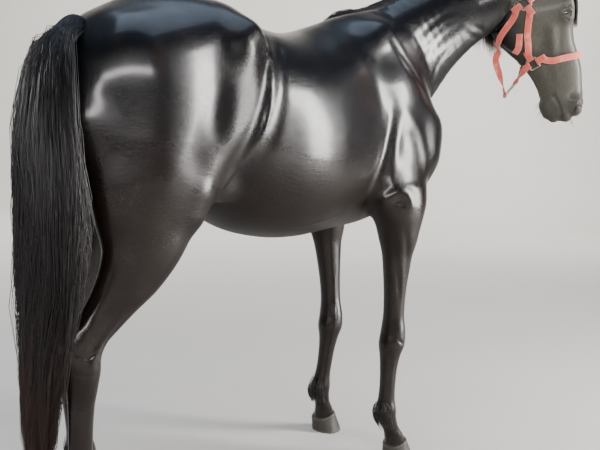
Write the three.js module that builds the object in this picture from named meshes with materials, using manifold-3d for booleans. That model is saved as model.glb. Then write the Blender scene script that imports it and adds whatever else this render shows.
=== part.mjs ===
// A black Friesian horse standing square behind and a little open in front, its head turned to its right and
// wearing a webbing halter. Life size, in millimetres: +X is forward, +Y is the horse's left, +Z is up.
import * as THREE from "three";
import { mergeVertices } from "three/addons/utils/BufferGeometryUtils.js";
import Module from "manifold-3d";

const wasm = await Module();
wasm.setup();

// Driving sizes of the animal
const CLEARANCE = 0.3; // between two nodes that meet
const CUT_REACH = 4000; // half-spaces reach this far
const WITHERS = 1602;
const ELBOW_CUT = 838; // the forelegs are parted from the chest here
const GROIN_CUT = 905; // the hind legs are parted from the thighs here
const KNEE_CUT = 528;
const HOCK_CUT = 650;
const FLANK_CUT = -205;
const GIRTH_CUT = 262;
const BLEND = { muscle: 70, limb: 55, neck: 90, head: 45, bone: 30 };

// The trunk from the buttocks to the breast: height of the back, of the belly and of the widest line
const TRUNK = [
  { at: -752, top: 1380, bottom: 1225, wide: 60, waist: 1300, power: 2.0 }, // buttocks
  { at: -712, top: 1440, bottom: 1140, wide: 118, waist: 1300, power: 2.0 },
  { at: -640, top: 1500, bottom: 1065, wide: 172, waist: 1290, power: 2.1 }, // tail head
  { at: -530, top: 1554, bottom: 1015, wide: 218, waist: 1275, power: 2.0 },
  { at: -400, top: 1580, bottom: 975, wide: 240, waist: 1260, power: 2.0 }, // croup
  { at: -280, top: 1562, bottom: 918, wide: 250, waist: 1230, power: 2.0 }, // loins
  { at: -160, top: 1524, bottom: 862, wide: 268, waist: 1190, power: 2.05 },
  { at: -30, top: 1503, bottom: 834, wide: 284, waist: 1165, power: 2.1 }, // back
  { at: 90, top: 1513, bottom: 828, wide: 282, waist: 1160, power: 2.0 },
  { at: 200, top: 1546, bottom: 836, wide: 262, waist: 1170, power: 1.9 },
  { at: 310, top: 1584, bottom: 848, wide: 236, waist: 1180, power: 1.7 },
  { at: 420, top: WITHERS, bottom: 862, wide: 216, waist: 1180, power: 1.6 }, // withers
  { at: 530, top: 1580, bottom: 896, wide: 196, waist: 1180, power: 1.7 },
  { at: 620, top: 1505, bottom: 960, wide: 170, waist: 1170, power: 1.9 },
  { at: 670, top: 1400, bottom: 1030, wide: 132, waist: 1160, power: 2.0 },
  { at: 708, top: 1290, bottom: 1100, wide: 74, waist: 1160, power: 2.0 }, // breast
];
// The body bends a little to its right from the withers back
const SWAY = { by: -46, from: 320, to: -420 };

// A leg from the body down to the hoof: its front and back lines, half width and distance from the midplane
const FORELEG = [
  { at: 1000, front: 560, back: 392, wide: 66, side: 192 },
  { at: 930, front: 560, back: 388, wide: 75, side: 192 },
  { at: 850, front: 552, back: 408, wide: 67, side: 188 },
  { at: 760, front: 542, back: 426, wide: 54, side: 182 }, // forearm
  { at: 650, front: 530, back: 440, wide: 44, side: 176 },
  { at: 550, front: 526, back: 445, wide: 41, side: 172 },
  { at: 485, front: 533, back: 440, wide: 48, side: 170 }, // knee
  { at: 442, front: 532, back: 433, wide: 49, side: 169 },
  { at: 402, front: 517, back: 438, wide: 41, side: 168 },
  { at: 350, front: 510, back: 440, wide: 33, side: 168 }, // cannon
  { at: 285, front: 507, back: 442, wide: 31, side: 168 },
  { at: 240, front: 508, back: 439, wide: 33, side: 168 },
  { at: 200, front: 514, back: 431, wide: 40, side: 168 }, // fetlock
  { at: 168, front: 520, back: 440, wide: 36, side: 168 },
  { at: 130, front: 535, back: 468, wide: 32, side: 168 }, // pastern
  { at: 95, front: 558, back: 484, wide: 39, side: 168 },
  { at: 30, front: 588, back: 490, wide: 48, side: 168 },
];
const HINDLEG = [
  { at: 1190, front: -420, back: -680, wide: 34, side: 136 },
  { at: 1090, front: -408, back: -706, wide: 64, side: 152 },
  { at: 980, front: -402, back: -708, wide: 80, side: 164 }, // stifle
  { at: 900, front: -422, back: -704, wide: 78, side: 170 },
  { at: 820, front: -464, back: -706, wide: 71, side: 173 }, // gaskin
  { at: 740, front: -526, back: -732, wide: 58, side: 171 },
  { at: 680, front: -592, back: -764, wide: 46, side: 166 },
  { at: 640, front: -634, back: -802, wide: 42, side: 163 },
  { at: 605, front: -670, back: -834, wide: 42, side: 161 }, // point of hock
  { at: 570, front: -688, back: -828, wide: 46, side: 160 },
  { at: 530, front: -692, back: -804, wide: 50, side: 159 },
  { at: 480, front: -700, back: -790, wide: 45, side: 158 },
  { at: 430, front: -706, back: -785, wide: 37, side: 157 }, // cannon
  { at: 340, front: -709, back: -783, wide: 33, side: 156 },
  { at: 250, front: -707, back: -784, wide: 35, side: 156 },
  { at: 205, front: -696, back: -789, wide: 42, side: 156 }, // fetlock
  { at: 168, front: -691, back: -776, wide: 37, side: 156 },
  { at: 130, front: -673, back: -745, wide: 33, side: 156 }, // pastern
  { at: 95, front: -648, back: -728, wide: 40, side: 156 },
  { at: 30, front: -618, back: -720, wide: 48, side: 156 },
];

// How each leg stands away from the square stance, forward and to the left, from the body down to the ground
const STANCE = {
  fore_right: [
    { at: 930, forward: 0, left: 0 },
    { at: 450, forward: 6, left: -14 },
    { at: 200, forward: 6, left: -14 },
    { at: 0, forward: 20, left: -8 },
  ],
  fore_left: [
    { at: 930, forward: 0, left: 0 },
    { at: 450, forward: 22, left: -20 },
    { at: 200, forward: 16, left: 2 },
    { at: 0, forward: 8, left: 44 },
  ],
  hind_right: [
    { at: 1150, forward: 0, left: 0 },
    { at: 600, forward: 14, left: 42 },
    { at: 200, forward: 18, left: 44 },
    { at: 0, forward: 22, left: 44 },
  ],
  hind_left: [
    { at: 1150, forward: 0, left: 0 },
    { at: 600, forward: 110, left: 22 },
    { at: 200, forward: 172, left: 18 },
    { at: 0, forward: 206, left: 18 },
  ],
};

// Muscles and bony points of one side, from one end to the other: [along, side, height] and radius
const FORE_MASSES = [
  { name: "shoulder blade", from: [445, 84, 1475], to: [625, 138, 1200], radii: [98, 112], flat: 0.62 },
  { name: "point of shoulder", from: [604, 120, 1180], to: [608, 126, 1120], radii: [84, 80], flat: 0.9 },
  { name: "upper arm", from: [610, 140, 1110], to: [480, 186, 975], radii: [88, 82], flat: 0.8 },
  { name: "triceps", from: [470, 140, 1290], to: [450, 188, 1010], radii: [122, 90], flat: 0.62 },
  { name: "elbow", from: [398, 206, 962], to: [412, 202, 930], radii: [40, 38], flat: 0.9, bone: true },
  { name: "breast", from: [636, 62, 1112], to: [582, 90, 1010], radii: [80, 74], flat: 0.95 },
  { name: "forearm head", from: [505, 188, 950], to: [492, 184, 850], radii: [76, 60], flat: 0.85 },
];
const HIND_MASSES = [
  { name: "croup muscle", from: [-310, 108, 1425], to: [-580, 108, 1352], radii: [112, 130], flat: 0.95 },
  { name: "thigh", from: [-540, 146, 1270], to: [-540, 166, 1060], radii: [182, 158], flat: 0.55 },
  { name: "buttock", from: [-688, 74, 1325], to: [-690, 92, 1190], radii: [76, 84], flat: 0.9 },
  { name: "hamstring", from: [-690, 96, 1190], to: [-650, 160, 950], radii: [82, 62], flat: 0.8 },
  { name: "front of thigh", from: [-318, 172, 1320], to: [-425, 196, 1030], radii: [82, 68], flat: 0.72 },
  { name: "stifle", from: [-438, 200, 1000], to: [-448, 200, 955], radii: [52, 46], flat: 0.9, bone: true },
  { name: "point of hip", from: [-262, 196, 1442], to: [-290, 200, 1420], radii: [44, 48], flat: 0.9 },
  { name: "flank fold", from: [-400, 180, 1080], to: [-325, 186, 1010], radii: [44, 22], flat: 0.6 },
];

// The neck's centre line from inside the chest to the poll, with its half depth and half width
const NECK = [
  { at: [450, 0, 1330], deep: 225, wide: 150 },
  { at: [600, -4, 1428], deep: 222, wide: 124 },
  { at: [745, -38, 1558], deep: 174, wide: 98 },
  { at: [882, -100, 1668], deep: 142, wide: 84 },
  { at: [1004, -178, 1728], deep: 118, wide: 76 },
  { inHead: [88, 0, -180], deep: 106, wide: 72 },
  { inHead: [52, 0, -105], deep: 84, wide: 68 },
];

// The head hangs from the poll: heading and pitch of the line to the lips, its roll and its size
const POLL = new THREE.Vector3(1193, -334, 1857);
const HEADING = -42;
const PITCH = 76;
const ROLL = -6.4;
const HEAD_SIZE = 0.93;

// The head from the poll to the lips: its front line, jaw line, half width and the height of the widest line
const HEAD = [
  { at: -45, top: -42, bottom: -150, wide: 50, waist: -90, power: 2.0 },
  { at: -15, top: -12, bottom: -215, wide: 76, waist: -85, power: 2.2 }, // poll
  { at: 50, top: 6, bottom: -285, wide: 94, waist: -80, power: 2.4 },
  { at: 115, top: 12, bottom: -328, wide: 106, waist: -74, power: 2.6 }, // forehead
  { at: 190, top: 6, bottom: -342, wide: 110, waist: -66, power: 2.7 }, // eyes
  { at: 250, top: -5, bottom: -326, wide: 94, waist: -70, power: 2.6 }, // jowl
  { at: 310, top: -8, bottom: -284, wide: 78, waist: -82, power: 2.5 },
  { at: 370, top: 0, bottom: -238, wide: 68, waist: -92, power: 2.4 }, // bridge of the nose
  { at: 430, top: 4, bottom: -206, wide: 61, waist: -96, power: 2.3 },
  { at: 500, top: -4, bottom: -188, wide: 57, waist: -92, power: 2.2 },
  { at: 560, top: -13, bottom: -184, wide: 59, waist: -88, power: 2.2 }, // nostrils
  { at: 604, top: -40, bottom: -170, wide: 54, waist: -98, power: 2.2 },
  { at: 634, top: -78, bottom: -144, wide: 38, waist: -110, power: 2.1 }, // lips
];
const HEAD_MASSES = [
  { name: "cheek", from: [168, 58, -190], to: [225, 54, -225], radii: [112, 90], flat: 0.4 },
  { name: "eye ridge", from: [160, 84, -28], to: [214, 86, -34], radii: [27, 23], flat: 0.8, bone: true },
  { name: "face crest", from: [250, 82, -108], to: [345, 58, -112], radii: [16, 10], flat: 0.8, bone: true },
  { name: "nostril", from: [556, 42, -46], to: [592, 40, -54], radii: [24, 20], flat: 0.8, bone: true },
  { name: "chin", from: [552, 10, -170], to: [584, 12, -164], radii: [26, 24], flat: 1.0, bone: true },
];
const EYE = { along: 196, side: 86, up: -46, radius: 21, turn: 0.12 };
const LID = { along: 22, up: 15, thick: 5 };
const NOSTRIL = { along: 582, side: 52, up: -46, radii: [24, 13, 10], tilt: 0.2, splay: 0.35 };
const MOUTH = { corner: [500, -128], front: [640, -124], deep: 9, open: 3.5 };
const EAR = {
  base: [38, 48, -34],
  length: 168,
  wide: 30,
  thick: 5,
  lean: 0.25,
  splay: 0.22,
  curl: 6,
  open: 14,
  rings: 6,
};

// Planes and cells that part the animal and set how finely it is modelled
const HEAD_CUT = { poll: [-18, 14], throat: [112, -316], angle: 31, back: -400 };
const CREASE = [180, 290]; // below this line of the head, its jaw and the neck are apart
const NECK_CUT = { point: [602, 0, 1400], normal: [0.7, 0, 0.71] };
const NECK_BOX = { low: [360, -470, 1080], high: [1340, 200, 1960] };
const CELL = { hindquarters: [60, 49, 53], shoulders: [54, 44, 50], neck: [52, 49, 49] };
const SIMPLIFY = { webbing: 0.05, ring: 0.05, flesh: 0.35 };
const BARREL_RINGS = 7;
const BARREL_SIDES = 26;
const HEAD_RINGS = 24;
const HEAD_SIDES = 20;
const LEG_SIDES = 12;
const LEG_RINGS = {
  upper: 7,
  fore: [0, 497, 465, 432, 405, 375, 310, 245, 215, 190, 160],
  hind: [0, 622, 595, 565, 530, 490, 450, 400, 320, 245, 215, 190, 160],
};

// Hooves
const HOOF = { toe: 68, heel: 52, wide: 58, coronetToe: 84, coronetHeel: 52, ahead: 18, rim: 1.5, sides: 16 };

// Numbers of locks, their sizes and how they lie
const MANE = {
  locks: 15,
  length: 390,
  atPoll: 0.6, // times the length, at the poll
  wide: 92,
  thick: 20,
  sunk: 16,
  steps: 4,
  from: 0.14,
  to: 0.9,
};
const FORELOCK = { locks: 5, length: 230, wide: 38, thick: 12, steps: 4 };
const FEATHER = { locks: 4, length: 96, wide: 34, thick: 14, steps: 3, height: 212 };
const TAIL = {
  line: [
    [-655, 0, 1450],
    [-712, 0, 1466],
    [-762, 0, 1420],
    [-792, -8, 1320],
    [-812, -14, 1160],
    [-802, -18, 960],
    [-797, -20, 740],
    [-804, -18, 480],
    [-806, -22, 130],
  ],
  dock: 30,
  core: 0.5,
  rings: 8,
  locks: 10,
  steps: 5,
  first: 0.03,
  lastRoot: 0.3,
  reach: 0.78,
  spread: 60,
  aside: 1.9,
  deep: 0.9,
  wide: 100,
  thick: 30,
};

// Halter straps and their square rings
const HALTER = {
  wide: 25,
  thick: 3,
  lift: 4.5,
  over: 3.8, // the jaw strap's height over the throat strap
  twist: 0.9,
  ring: 19.7,
  chinRing: 32,
  corner: 5,
  bar: 2.8,
  slack: 0.8,
  flap: 34,
  cut: 1, // the head is cut this far clear of a strap that would touch it
};
// Where they lie: along the face, to the side and towards the front of the face
const HALTER_PLACES = {
  upperRing: [129, 100, -198],
  upperTurn: 24,
  lowerRing: [371, 66, -200],
  lowerTurn: 20,
  cheek: [[250, 100, -206]],
  crown: [[72, 100, -154], [24, 86, -110], [-20, 56, -68], [-48, 0, -34]],
  nose: [[371, 70, -130], [371, 64, -70], [371, 40, -8], [371, 0, 0]],
  throat: [[172, 100, -250], [220, 90, -300], [262, 50, -330], [272, 0, -330]],
  chinRing: [456, 0, -300],
  chinTilt: [-0.66, 0.75],
  jaw: [[380, 0, -332], [320, 0, -336]],
  jawEnd: [[290, 0, -326], [262, 0, -332]],
  tongue: [[240, 90, -236], [268, 84, -241], [298, 78, -250], [320, 70, -268]],
};

const COLOURS = {
  coat: { color: 0x0d0c0e, roughness: 0.35, metalness: 0.0 },
  hair: { color: 0x121014, roughness: 0.45, metalness: 0.0 },
  tailHair: { color: 0x1a1313, roughness: 0.5, metalness: 0.0 },
  eye: { color: 0x1c120c, roughness: 0.08, metalness: 0.0 },
  hoof: { color: 0x2b2825, roughness: 0.5, metalness: 0.0 },
  webbing: { color: 0xd8564e, roughness: 0.75, metalness: 0.0 },
  ring: { color: 0x5a2a26, roughness: 0.4, metalness: 0.8 },
};

// Small maths
const clamp = (v, low, high) => Math.min(Math.max(v, low), high);
const mix = (a, b, t) => a + (b - a) * t;
const radians = THREE.MathUtils.degToRad;
const vector = (list) => new THREE.Vector3(...list);
const random = (seed) => {
  const s = Math.sin(seed * 127.1 + 311.7) * 43758.5453;
  return s - Math.floor(s);
};

// Smooth union of two distances over the length k
function join(a, b, k) {
  const h = Math.max(k - Math.abs(a - b), 0) / k;
  return Math.min(a, b) - h * h * k * 0.25;
}

// A smooth curve through the values of one key of the stations, read at any place along them
function rail(stations, key) {
  const rising = stations[1].at > stations[0].at ? stations : [...stations].reverse();
  const x = rising.map((s) => s.at);
  const y = rising.map((s) => s[key] ?? 0);
  const last = x.length - 1;
  const slope = y.map((_, i) => {
    const a = Math.max(i - 1, 0);
    const b = Math.min(i + 1, last);
    return (y[b] - y[a]) / (x[b] - x[a]);
  });
  return (at) => {
    const p = clamp(at, x[0], x[last]);
    let i = 0;
    while (i < last - 1 && x[i + 1] < p) i++;
    const d = x[i + 1] - x[i];
    const t = (p - x[i]) / d;
    const t2 = t * t;
    const t3 = t2 * t;
    return (
      (2 * t3 - 3 * t2 + 1) * y[i] +
      (t3 - 2 * t2 + t) * d * slope[i] +
      (3 * t2 - 2 * t3) * y[i + 1] +
      (t3 - t2) * d * slope[i + 1]
    );
  };
}

// Distance to a body lofted through stations, from its coordinates along, sideways and up
function loft(stations, endRound) {
  const ends = stations.map((s) => s.at);
  const low = Math.min(...ends);
  const high = Math.max(...ends);
  const rails = {};
  for (const key of ["top", "bottom", "wide", "waist", "power"]) rails[key] = rail(stations, key);
  return (along, side, up) => {
    const waist = rails.waist(along);
    const z = up - waist;
    const high2 = rails.top(along) - waist;
    const low2 = waist - rails.bottom(along);
    const v = Math.abs(z) / (z > 0 ? high2 : low2);
    const u = Math.abs(side) / rails.wide(along);
    const n = z > 0 ? rails.power(along) : 2.15;
    const r = Math.pow(Math.pow(u, n) + Math.pow(v, n), 1 / n);
    const reach = Math.hypot(side, z);
    const d = r < 1e-6 ? -Math.min(high2, low2) : reach - reach / r;
    const end = Math.max(low - along, along - high);
    return -join(-d, -end, endRound);
  };
}

// A leg's loft: the same body, stood on end, with its own distance from the midplane
function legLoft(stations) {
  const upright = stations.map((s) => ({
    at: s.at,
    top: s.front,
    bottom: s.back,
    wide: s.wide,
    waist: (s.front * 3 + s.back * 2) / 5,
    power: 2.1,
  }));
  const body = loft(upright, 20);
  const side = rail(stations, "side");
  return (x, y, z) => body(z, y - side(z), x);
}

// Distance to a tapered capsule that is flatter across than it is deep
function massOf({ from, to, radii, flat }) {
  const axis = to.map((v, i) => v - from[i]);
  const squared = axis.reduce((sum, v) => sum + v * v, 0);
  return (x, y, z) => {
    const q = [x - from[0], y - from[1], z - from[2]];
    const t = clamp((q[0] * axis[0] + q[1] * axis[1] + q[2] * axis[2]) / squared, 0, 1);
    const across = (q[1] - t * axis[1]) / flat;
    const reach = Math.hypot(q[0] - t * axis[0], across, q[2] - t * axis[2]);
    return reach - mix(radii[0], radii[1], t);
  };
}

// The head's own frame: along the face, to the left, and towards the front of the face
const headFrame = (() => {
  const h = radians(HEADING);
  const t = radians(PITCH);
  const along = new THREE.Vector3(Math.cos(h) * Math.cos(t), Math.sin(h) * Math.cos(t), -Math.sin(t));
  const left = new THREE.Vector3(-Math.sin(h), Math.cos(h), 0);
  left.applyAxisAngle(along, -radians(ROLL));
  const front = along.clone().cross(left);
  const axes = [along, left, front].map((axis) => axis.multiplyScalar(HEAD_SIZE));
  return new THREE.Matrix4().makeBasis(...axes).setPosition(POLL);
})();
const inHead = (along, side, up) => new THREE.Vector3(along, side, up).applyMatrix4(headFrame);
const wayInHead = (along, side, up) => new THREE.Vector3(along, side, up).transformDirection(headFrame);
const toHead = headFrame.clone().invert();
const headLoft = loft(HEAD, 40);
const headAxis = rail(HEAD, "waist");
const headMasses = HEAD_MASSES.map((m) => ({ field: massOf(m), k: m.bone ? BLEND.bone : BLEND.head }));
function headField(along, side, up) {
  let d = headLoft(along, side, up);
  for (const { field, k } of headMasses) d = join(d, field(along, Math.abs(side), up), k);
  return d * HEAD_SIZE;
}

// The neck is swept along its centre line with an oval section that stays upright
const neckLine = new THREE.CatmullRomCurve3(NECK.map((s) => (s.at ? vector(s.at) : inHead(...s.inHead))));
const NECK_STEPS = 26;
const neckDepth = rail(NECK.map((s, i) => ({ at: i / (NECK.length - 1), deep: s.deep })), "deep");
const neckWidth = rail(NECK.map((s, i) => ({ at: i / (NECK.length - 1), wide: s.wide })), "wide");
const neckRing = Array.from({ length: NECK_STEPS + 1 }, (_, i) => {
  const t = i / NECK_STEPS;
  const centre = neckLine.getPoint(t);
  const ahead = neckLine.getTangent(t);
  const left = new THREE.Vector3(0, 0, 1).cross(ahead).normalize();
  const up = ahead.clone().cross(left);
  return { centre, ahead, left, up, deep: neckDepth(t), wide: neckWidth(t) };
});
function neckField(x, y, z) {
  const p = new THREE.Vector3(x, y, z);
  let best = Infinity;
  for (let i = 0; i < NECK_STEPS; i++) {
    const a = neckRing[i];
    const b = neckRing[i + 1];
    const axis = b.centre.clone().sub(a.centre);
    const q = p.clone().sub(a.centre);
    const t = clamp(q.dot(axis) / axis.lengthSq(), 0, 1);
    q.addScaledVector(axis, -t);
    const deep = mix(a.deep, b.deep, t);
    const wide = mix(a.wide, b.wide, t);
    const across = q.dot(a.left);
    const down = Math.sqrt(Math.max(q.lengthSq() - across * across, 0));
    const r = Math.pow(Math.pow(Math.abs(across) / wide, 1.9) + Math.pow(down / deep, 1.9), 1 / 1.9);
    const reach = q.length();
    best = Math.min(best, r < 1e-6 ? -wide : reach - reach / r);
  }
  return best;
}

// The body's sideways bend
const swayAt = (x) => SWAY.by * THREE.MathUtils.smoothstep(SWAY.from - x, 0, SWAY.from - SWAY.to);

// The four quarters, each moved by its stance
function quarter(name, legStations, masses) {
  const forward = rail(STANCE[name], "forward");
  const left = rail(STANCE[name], "left");
  const hand = name.endsWith("left") ? 1 : -1;
  const leg = legLoft(legStations);
  const parts = masses.map((m) => ({ field: massOf(m), k: m.bone ? BLEND.bone : BLEND.muscle }));
  const place = (along, side, z) => {
    const x = along + forward(z);
    return new THREE.Vector3(x, side * hand + left(z) + swayAt(x), z);
  };
  const field = (d, x, y, z) => {
    const px = x - forward(z);
    const py = (y - left(z) - swayAt(x)) * hand;
    for (const part of parts) d = join(d, part.field(px, py, z), part.k);
    return join(d, leg(px, py, z), BLEND.limb);
  };
  return { hand, place, field, stations: legStations };
}
const quarters = {
  fore_right: quarter("fore_right", FORELEG, FORE_MASSES),
  fore_left: quarter("fore_left", FORELEG, FORE_MASSES),
  hind_right: quarter("hind_right", HINDLEG, HIND_MASSES),
  hind_left: quarter("hind_left", HINDLEG, HIND_MASSES),
};
const trunkLoft = loft(TRUNK, 70);

// The whole animal's flesh as one distance, with or without its head
function flesh(x, y, z, headless = false) {
  let d = trunkLoft(x, y - swayAt(x), z);
  if (x > 100) {
    d = quarters.fore_right.field(d, x, y, z);
    d = quarters.fore_left.field(d, x, y, z);
    d = join(d, neckField(x, y, z), BLEND.neck);
    if (headless) return d;
    const h = new THREE.Vector3(x, y, z).applyMatrix4(toHead);
    d = join(d, headField(h.x, h.y, h.z), BLEND.head);
  } else {
    d = quarters.hind_right.field(d, x, y, z);
    d = quarters.hind_left.field(d, x, y, z);
  }
  return d;
}

function slopeOf(field, p, step = 2) {
  return new THREE.Vector3(
    field(p.x + step, p.y, p.z) - field(p.x - step, p.y, p.z),
    field(p.x, p.y + step, p.z) - field(p.x, p.y - step, p.z),
    field(p.x, p.y, p.z + step) - field(p.x, p.y, p.z - step),
  ).divideScalar(2 * step);
}

// Moves a point onto the surface that lies a distance off the field
function settle(field, p, lift = 0, rounds = 4) {
  const q = p.clone();
  for (let i = 0; i < rounds; i++) {
    const g = slopeOf(field, q);
    q.addScaledVector(g, -(field(q.x, q.y, q.z) - lift) / Math.max(g.lengthSq(), 0.05));
  }
  return q;
}

// A closed net of quads on the field's surface inside a box, with the field closed off at the box's faces
function netOf(field, low, high, cell) {
  const n = [0, 1, 2].map((i) => Math.ceil((high[i] - low[i]) / cell[i]) + 1);
  const at = (i, j, k) => i + n[0] * (j + n[1] * k);
  const value = new Float64Array(n[0] * n[1] * n[2]);
  for (let k = 0; k < n[2]; k++)
    for (let j = 0; j < n[1]; j++)
      for (let i = 0; i < n[0]; i++) {
        const rim = [i, j, k].some((v, m) => v === 0 || v === n[m] - 1);
        const d = field(low[0] + i * cell[0], low[1] + j * cell[1], low[2] + k * cell[2]);
        value[at(i, j, k)] = rim ? Math.max(d, Math.min(...cell) / 2) : d;
      }
  // A face whose corners alternate would pinch the net, so its weakest corner is turned over
  const step = [1, n[0], n[0] * n[1]];
  for (let round = 0, pinched = true; pinched && round < 8; round++) {
    pinched = false;
    for (let k = 0; k < n[2] - 1; k++)
      for (let j = 0; j < n[1] - 1; j++)
        for (let i = 0; i < n[0] - 1; i++)
          for (let m = 0; m < 3; m++) {
            const b = step[(m + 1) % 3];
            const c = step[(m + 2) % 3];
            const face = [0, b, b + c, c].map((s) => at(i, j, k) + s);
            const signs = face.map((f) => value[f] < 0);
            if (signs[0] !== signs[2] || signs[1] !== signs[3] || signs[0] === signs[1]) continue;
            const inner = face.filter((f) => value[f] < 0).sort((p, q) => value[q] - value[p])[0];
            value[inner] = Math.min(...cell) * 0.1;
            pinched = true;
          }
  }
  const corners = [];
  for (let c = 0; c < 8; c++) corners.push([c & 1, (c >> 1) & 1, (c >> 2) & 1]);
  const edges = [];
  for (let a = 0; a < 8; a++)
    for (const bit of [1, 2, 4]) if (!(a & bit)) edges.push([a, a | bit]);
  const vertex = new Map();
  const points = [];
  for (let k = 0; k < n[2] - 1; k++)
    for (let j = 0; j < n[1] - 1; j++)
      for (let i = 0; i < n[0] - 1; i++) {
        const v = corners.map(([a, b, c]) => value[at(i + a, j + b, k + c)]);
        const inside = v.filter((d) => d < 0).length;
        if (inside === 0 || inside === 8) continue;
        const sum = [0, 0, 0];
        let count = 0;
        for (const [a, b] of edges) {
          if (v[a] < 0 === v[b] < 0) continue;
          const t = v[a] / (v[a] - v[b]);
          for (let m = 0; m < 3; m++) sum[m] += mix(corners[a][m], corners[b][m], t);
          count++;
        }
        const here = [i, j, k];
        vertex.set(at(i, j, k), points.length);
        points.push(new THREE.Vector3(...sum.map((s, m) => low[m] + (here[m] + s / count) * cell[m])));
      }
  const most = Math.min(...cell) * 0.45;
  for (const p of points) {
    const edgeOff = Math.min(...[0, 1, 2].map((m) =>
      Math.min(p.getComponent(m) - low[m], low[m] + (n[m] - 1) * cell[m] - p.getComponent(m)) / cell[m]));
    if (edgeOff < 1) continue;
    const move = settle(field, p, 0, 2).sub(p);
    if (move.length() > most) move.setLength(most);
    p.add(move);
  }
  const triangles = [];
  for (let k = 0; k < n[2] - 1; k++)
    for (let j = 0; j < n[1] - 1; j++)
      for (let i = 0; i < n[0] - 1; i++) {
        const here = at(i, j, k);
        const cellAt = [i, j, k];
        for (let m = 0; m < 3; m++) {
          const inside = value[here] < 0;
          if (inside === value[here + step[m]] < 0) continue;
          if (cellAt[(m + 1) % 3] === 0 || cellAt[(m + 2) % 3] === 0) continue;
          const b = step[(m + 1) % 3];
          const c = step[(m + 2) % 3];
          const ring = [here - b - c, here - c, here, here - b].map((v) => vertex.get(v));
          if (!inside) ring.reverse();
          const [p, q, r, s] = ring.map((v) => points[v]);
          if (p.distanceToSquared(r) < q.distanceToSquared(s))
            triangles.push(ring[0], ring[1], ring[2], ring[0], ring[2], ring[3]);
          else triangles.push(ring[1], ring[2], ring[3], ring[1], ring[3], ring[0]);
        }
      }
  return { points, triangles };
}

// Solids and meshes
function solidFrom(points, triangles) {
  const vertProperties = new Float32Array(points.flatMap((p) => [p.x, p.y, p.z]));
  let volume = 0;
  for (let i = 0; i < triangles.length; i += 3) {
    const [a, b, c] = [0, 1, 2].map((m) => points[triangles[i + m]]);
    volume += a.dot(b.clone().cross(c));
  }
  const triVerts = new Uint32Array(triangles);
  if (volume < 0) triVerts.reverse();
  return new wasm.Manifold(new wasm.Mesh({ numProp: 3, vertProperties, triVerts }));
}
function solidOf(geometry, matrix) {
  const bare = geometry.clone();
  bare.deleteAttribute("normal");
  bare.deleteAttribute("uv");
  if (matrix) bare.applyMatrix4(matrix);
  const merged = mergeVertices(bare, 1e-3);
  const position = merged.getAttribute("position");
  const points = Array.from({ length: position.count }, (_, i) =>
    new THREE.Vector3().fromBufferAttribute(position, i));
  return solidFrom(points, Array.from(merged.index.array));
}
function netSolid(field, low, high, cell) {
  const { points, triangles } = netOf(field, low, high, cell);
  return solidFrom(points, triangles);
}
// Everything on the side of a plane that its normal points to, moved off the plane by half the clearance
function halfSpace(point, normal) {
  const n = normal.clone().normalize();
  const centre = point.clone().addScaledVector(n, CUT_REACH / 2 + CLEARANCE / 2);
  const turn = new THREE.Quaternion().setFromUnitVectors(new THREE.Vector3(0, 0, 1), n);
  const place = new THREE.Matrix4().compose(centre, turn, new THREE.Vector3(1, 1, 1));
  return solidOf(new THREE.BoxGeometry(CUT_REACH, CUT_REACH, CUT_REACH), place);
}
function largest(solid) {
  const pieces = solid.decompose();
  pieces.sort((a, b) => b.volume() - a.volume());
  return pieces[0];
}
const unite = (solids) => solids.reduce((a, b) => a.add(b));
// The same solid with its skin moved outwards, to cut a neighbour clear of it
function grown(solid, by = CLEARANCE * 1.8) {
  const mesh = solid.getMesh();
  const size = mesh.numProp;
  const points = Array.from({ length: mesh.numVert }, (_, i) =>
    new THREE.Vector3(...mesh.vertProperties.subarray(i * size, i * size + 3)));
  const normals = points.map(() => new THREE.Vector3());
  for (let i = 0; i < mesh.triVerts.length; i += 3) {
    const [a, b, c] = mesh.triVerts.subarray(i, i + 3);
    const n = points[b].clone().sub(points[a]).cross(points[c].clone().sub(points[a]));
    for (const v of [a, b, c]) normals[v].add(n);
  }
  const moved = points.map((p, i) => p.clone().addScaledVector(normals[i].normalize(), by));
  return solidFrom(moved, Array.from(mesh.triVerts));
}
const part = new THREE.Group();
function addNode(name, solid, look) {
  const whole = largest(largest(solid).simplify(SIMPLIFY[look] ?? SIMPLIFY.flesh));
  const mesh = whole.getMesh();
  const size = mesh.numProp;
  const position = new Float32Array(mesh.numVert * 3);
  for (let i = 0; i < mesh.numVert; i++)
    position.set(mesh.vertProperties.subarray(i * size, i * size + 3), i * 3);
  const geometry = new THREE.BufferGeometry();
  geometry.setAttribute("position", new THREE.BufferAttribute(position, 3));
  geometry.setIndex(new THREE.BufferAttribute(mesh.triVerts, 1));
  geometry.computeVertexNormals();
  const made = new THREE.Mesh(geometry, new THREE.MeshStandardMaterial(COLOURS[look]));
  made.name = name;
  part.add(made);
  return whole;
}

// A closed strip through rings of points, each with the same number of points, ending in one point or a face;
// its two broad faces are split alike, so that a thin one never crosses itself
function stripSolid(rings, tip) {
  const sides = rings[0].length;
  const points = rings.flat();
  const triangles = [];
  for (let i = 0; i + 1 < rings.length; i++)
    for (let j = 0; j < sides; j++) {
      const a = i * sides + j;
      const b = i * sides + ((j + 1) % sides);
      if (j * 2 < sides) triangles.push(a, b, a + sides, b, b + sides, a + sides);
      else triangles.push(a, b, b + sides, a, b + sides, a + sides);
    }
  for (let j = 1; j + 1 < sides; j++) triangles.push(0, j + 1, j);
  const last = (rings.length - 1) * sides;
  if (tip) {
    points.push(tip);
    for (let j = 0; j < sides; j++) triangles.push(last + j, last + ((j + 1) % sides), points.length - 1);
  } else for (let j = 1; j + 1 < sides; j++) triangles.push(last, last + j, last + j + 1);
  return solidFrom(points, triangles);
}

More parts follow.
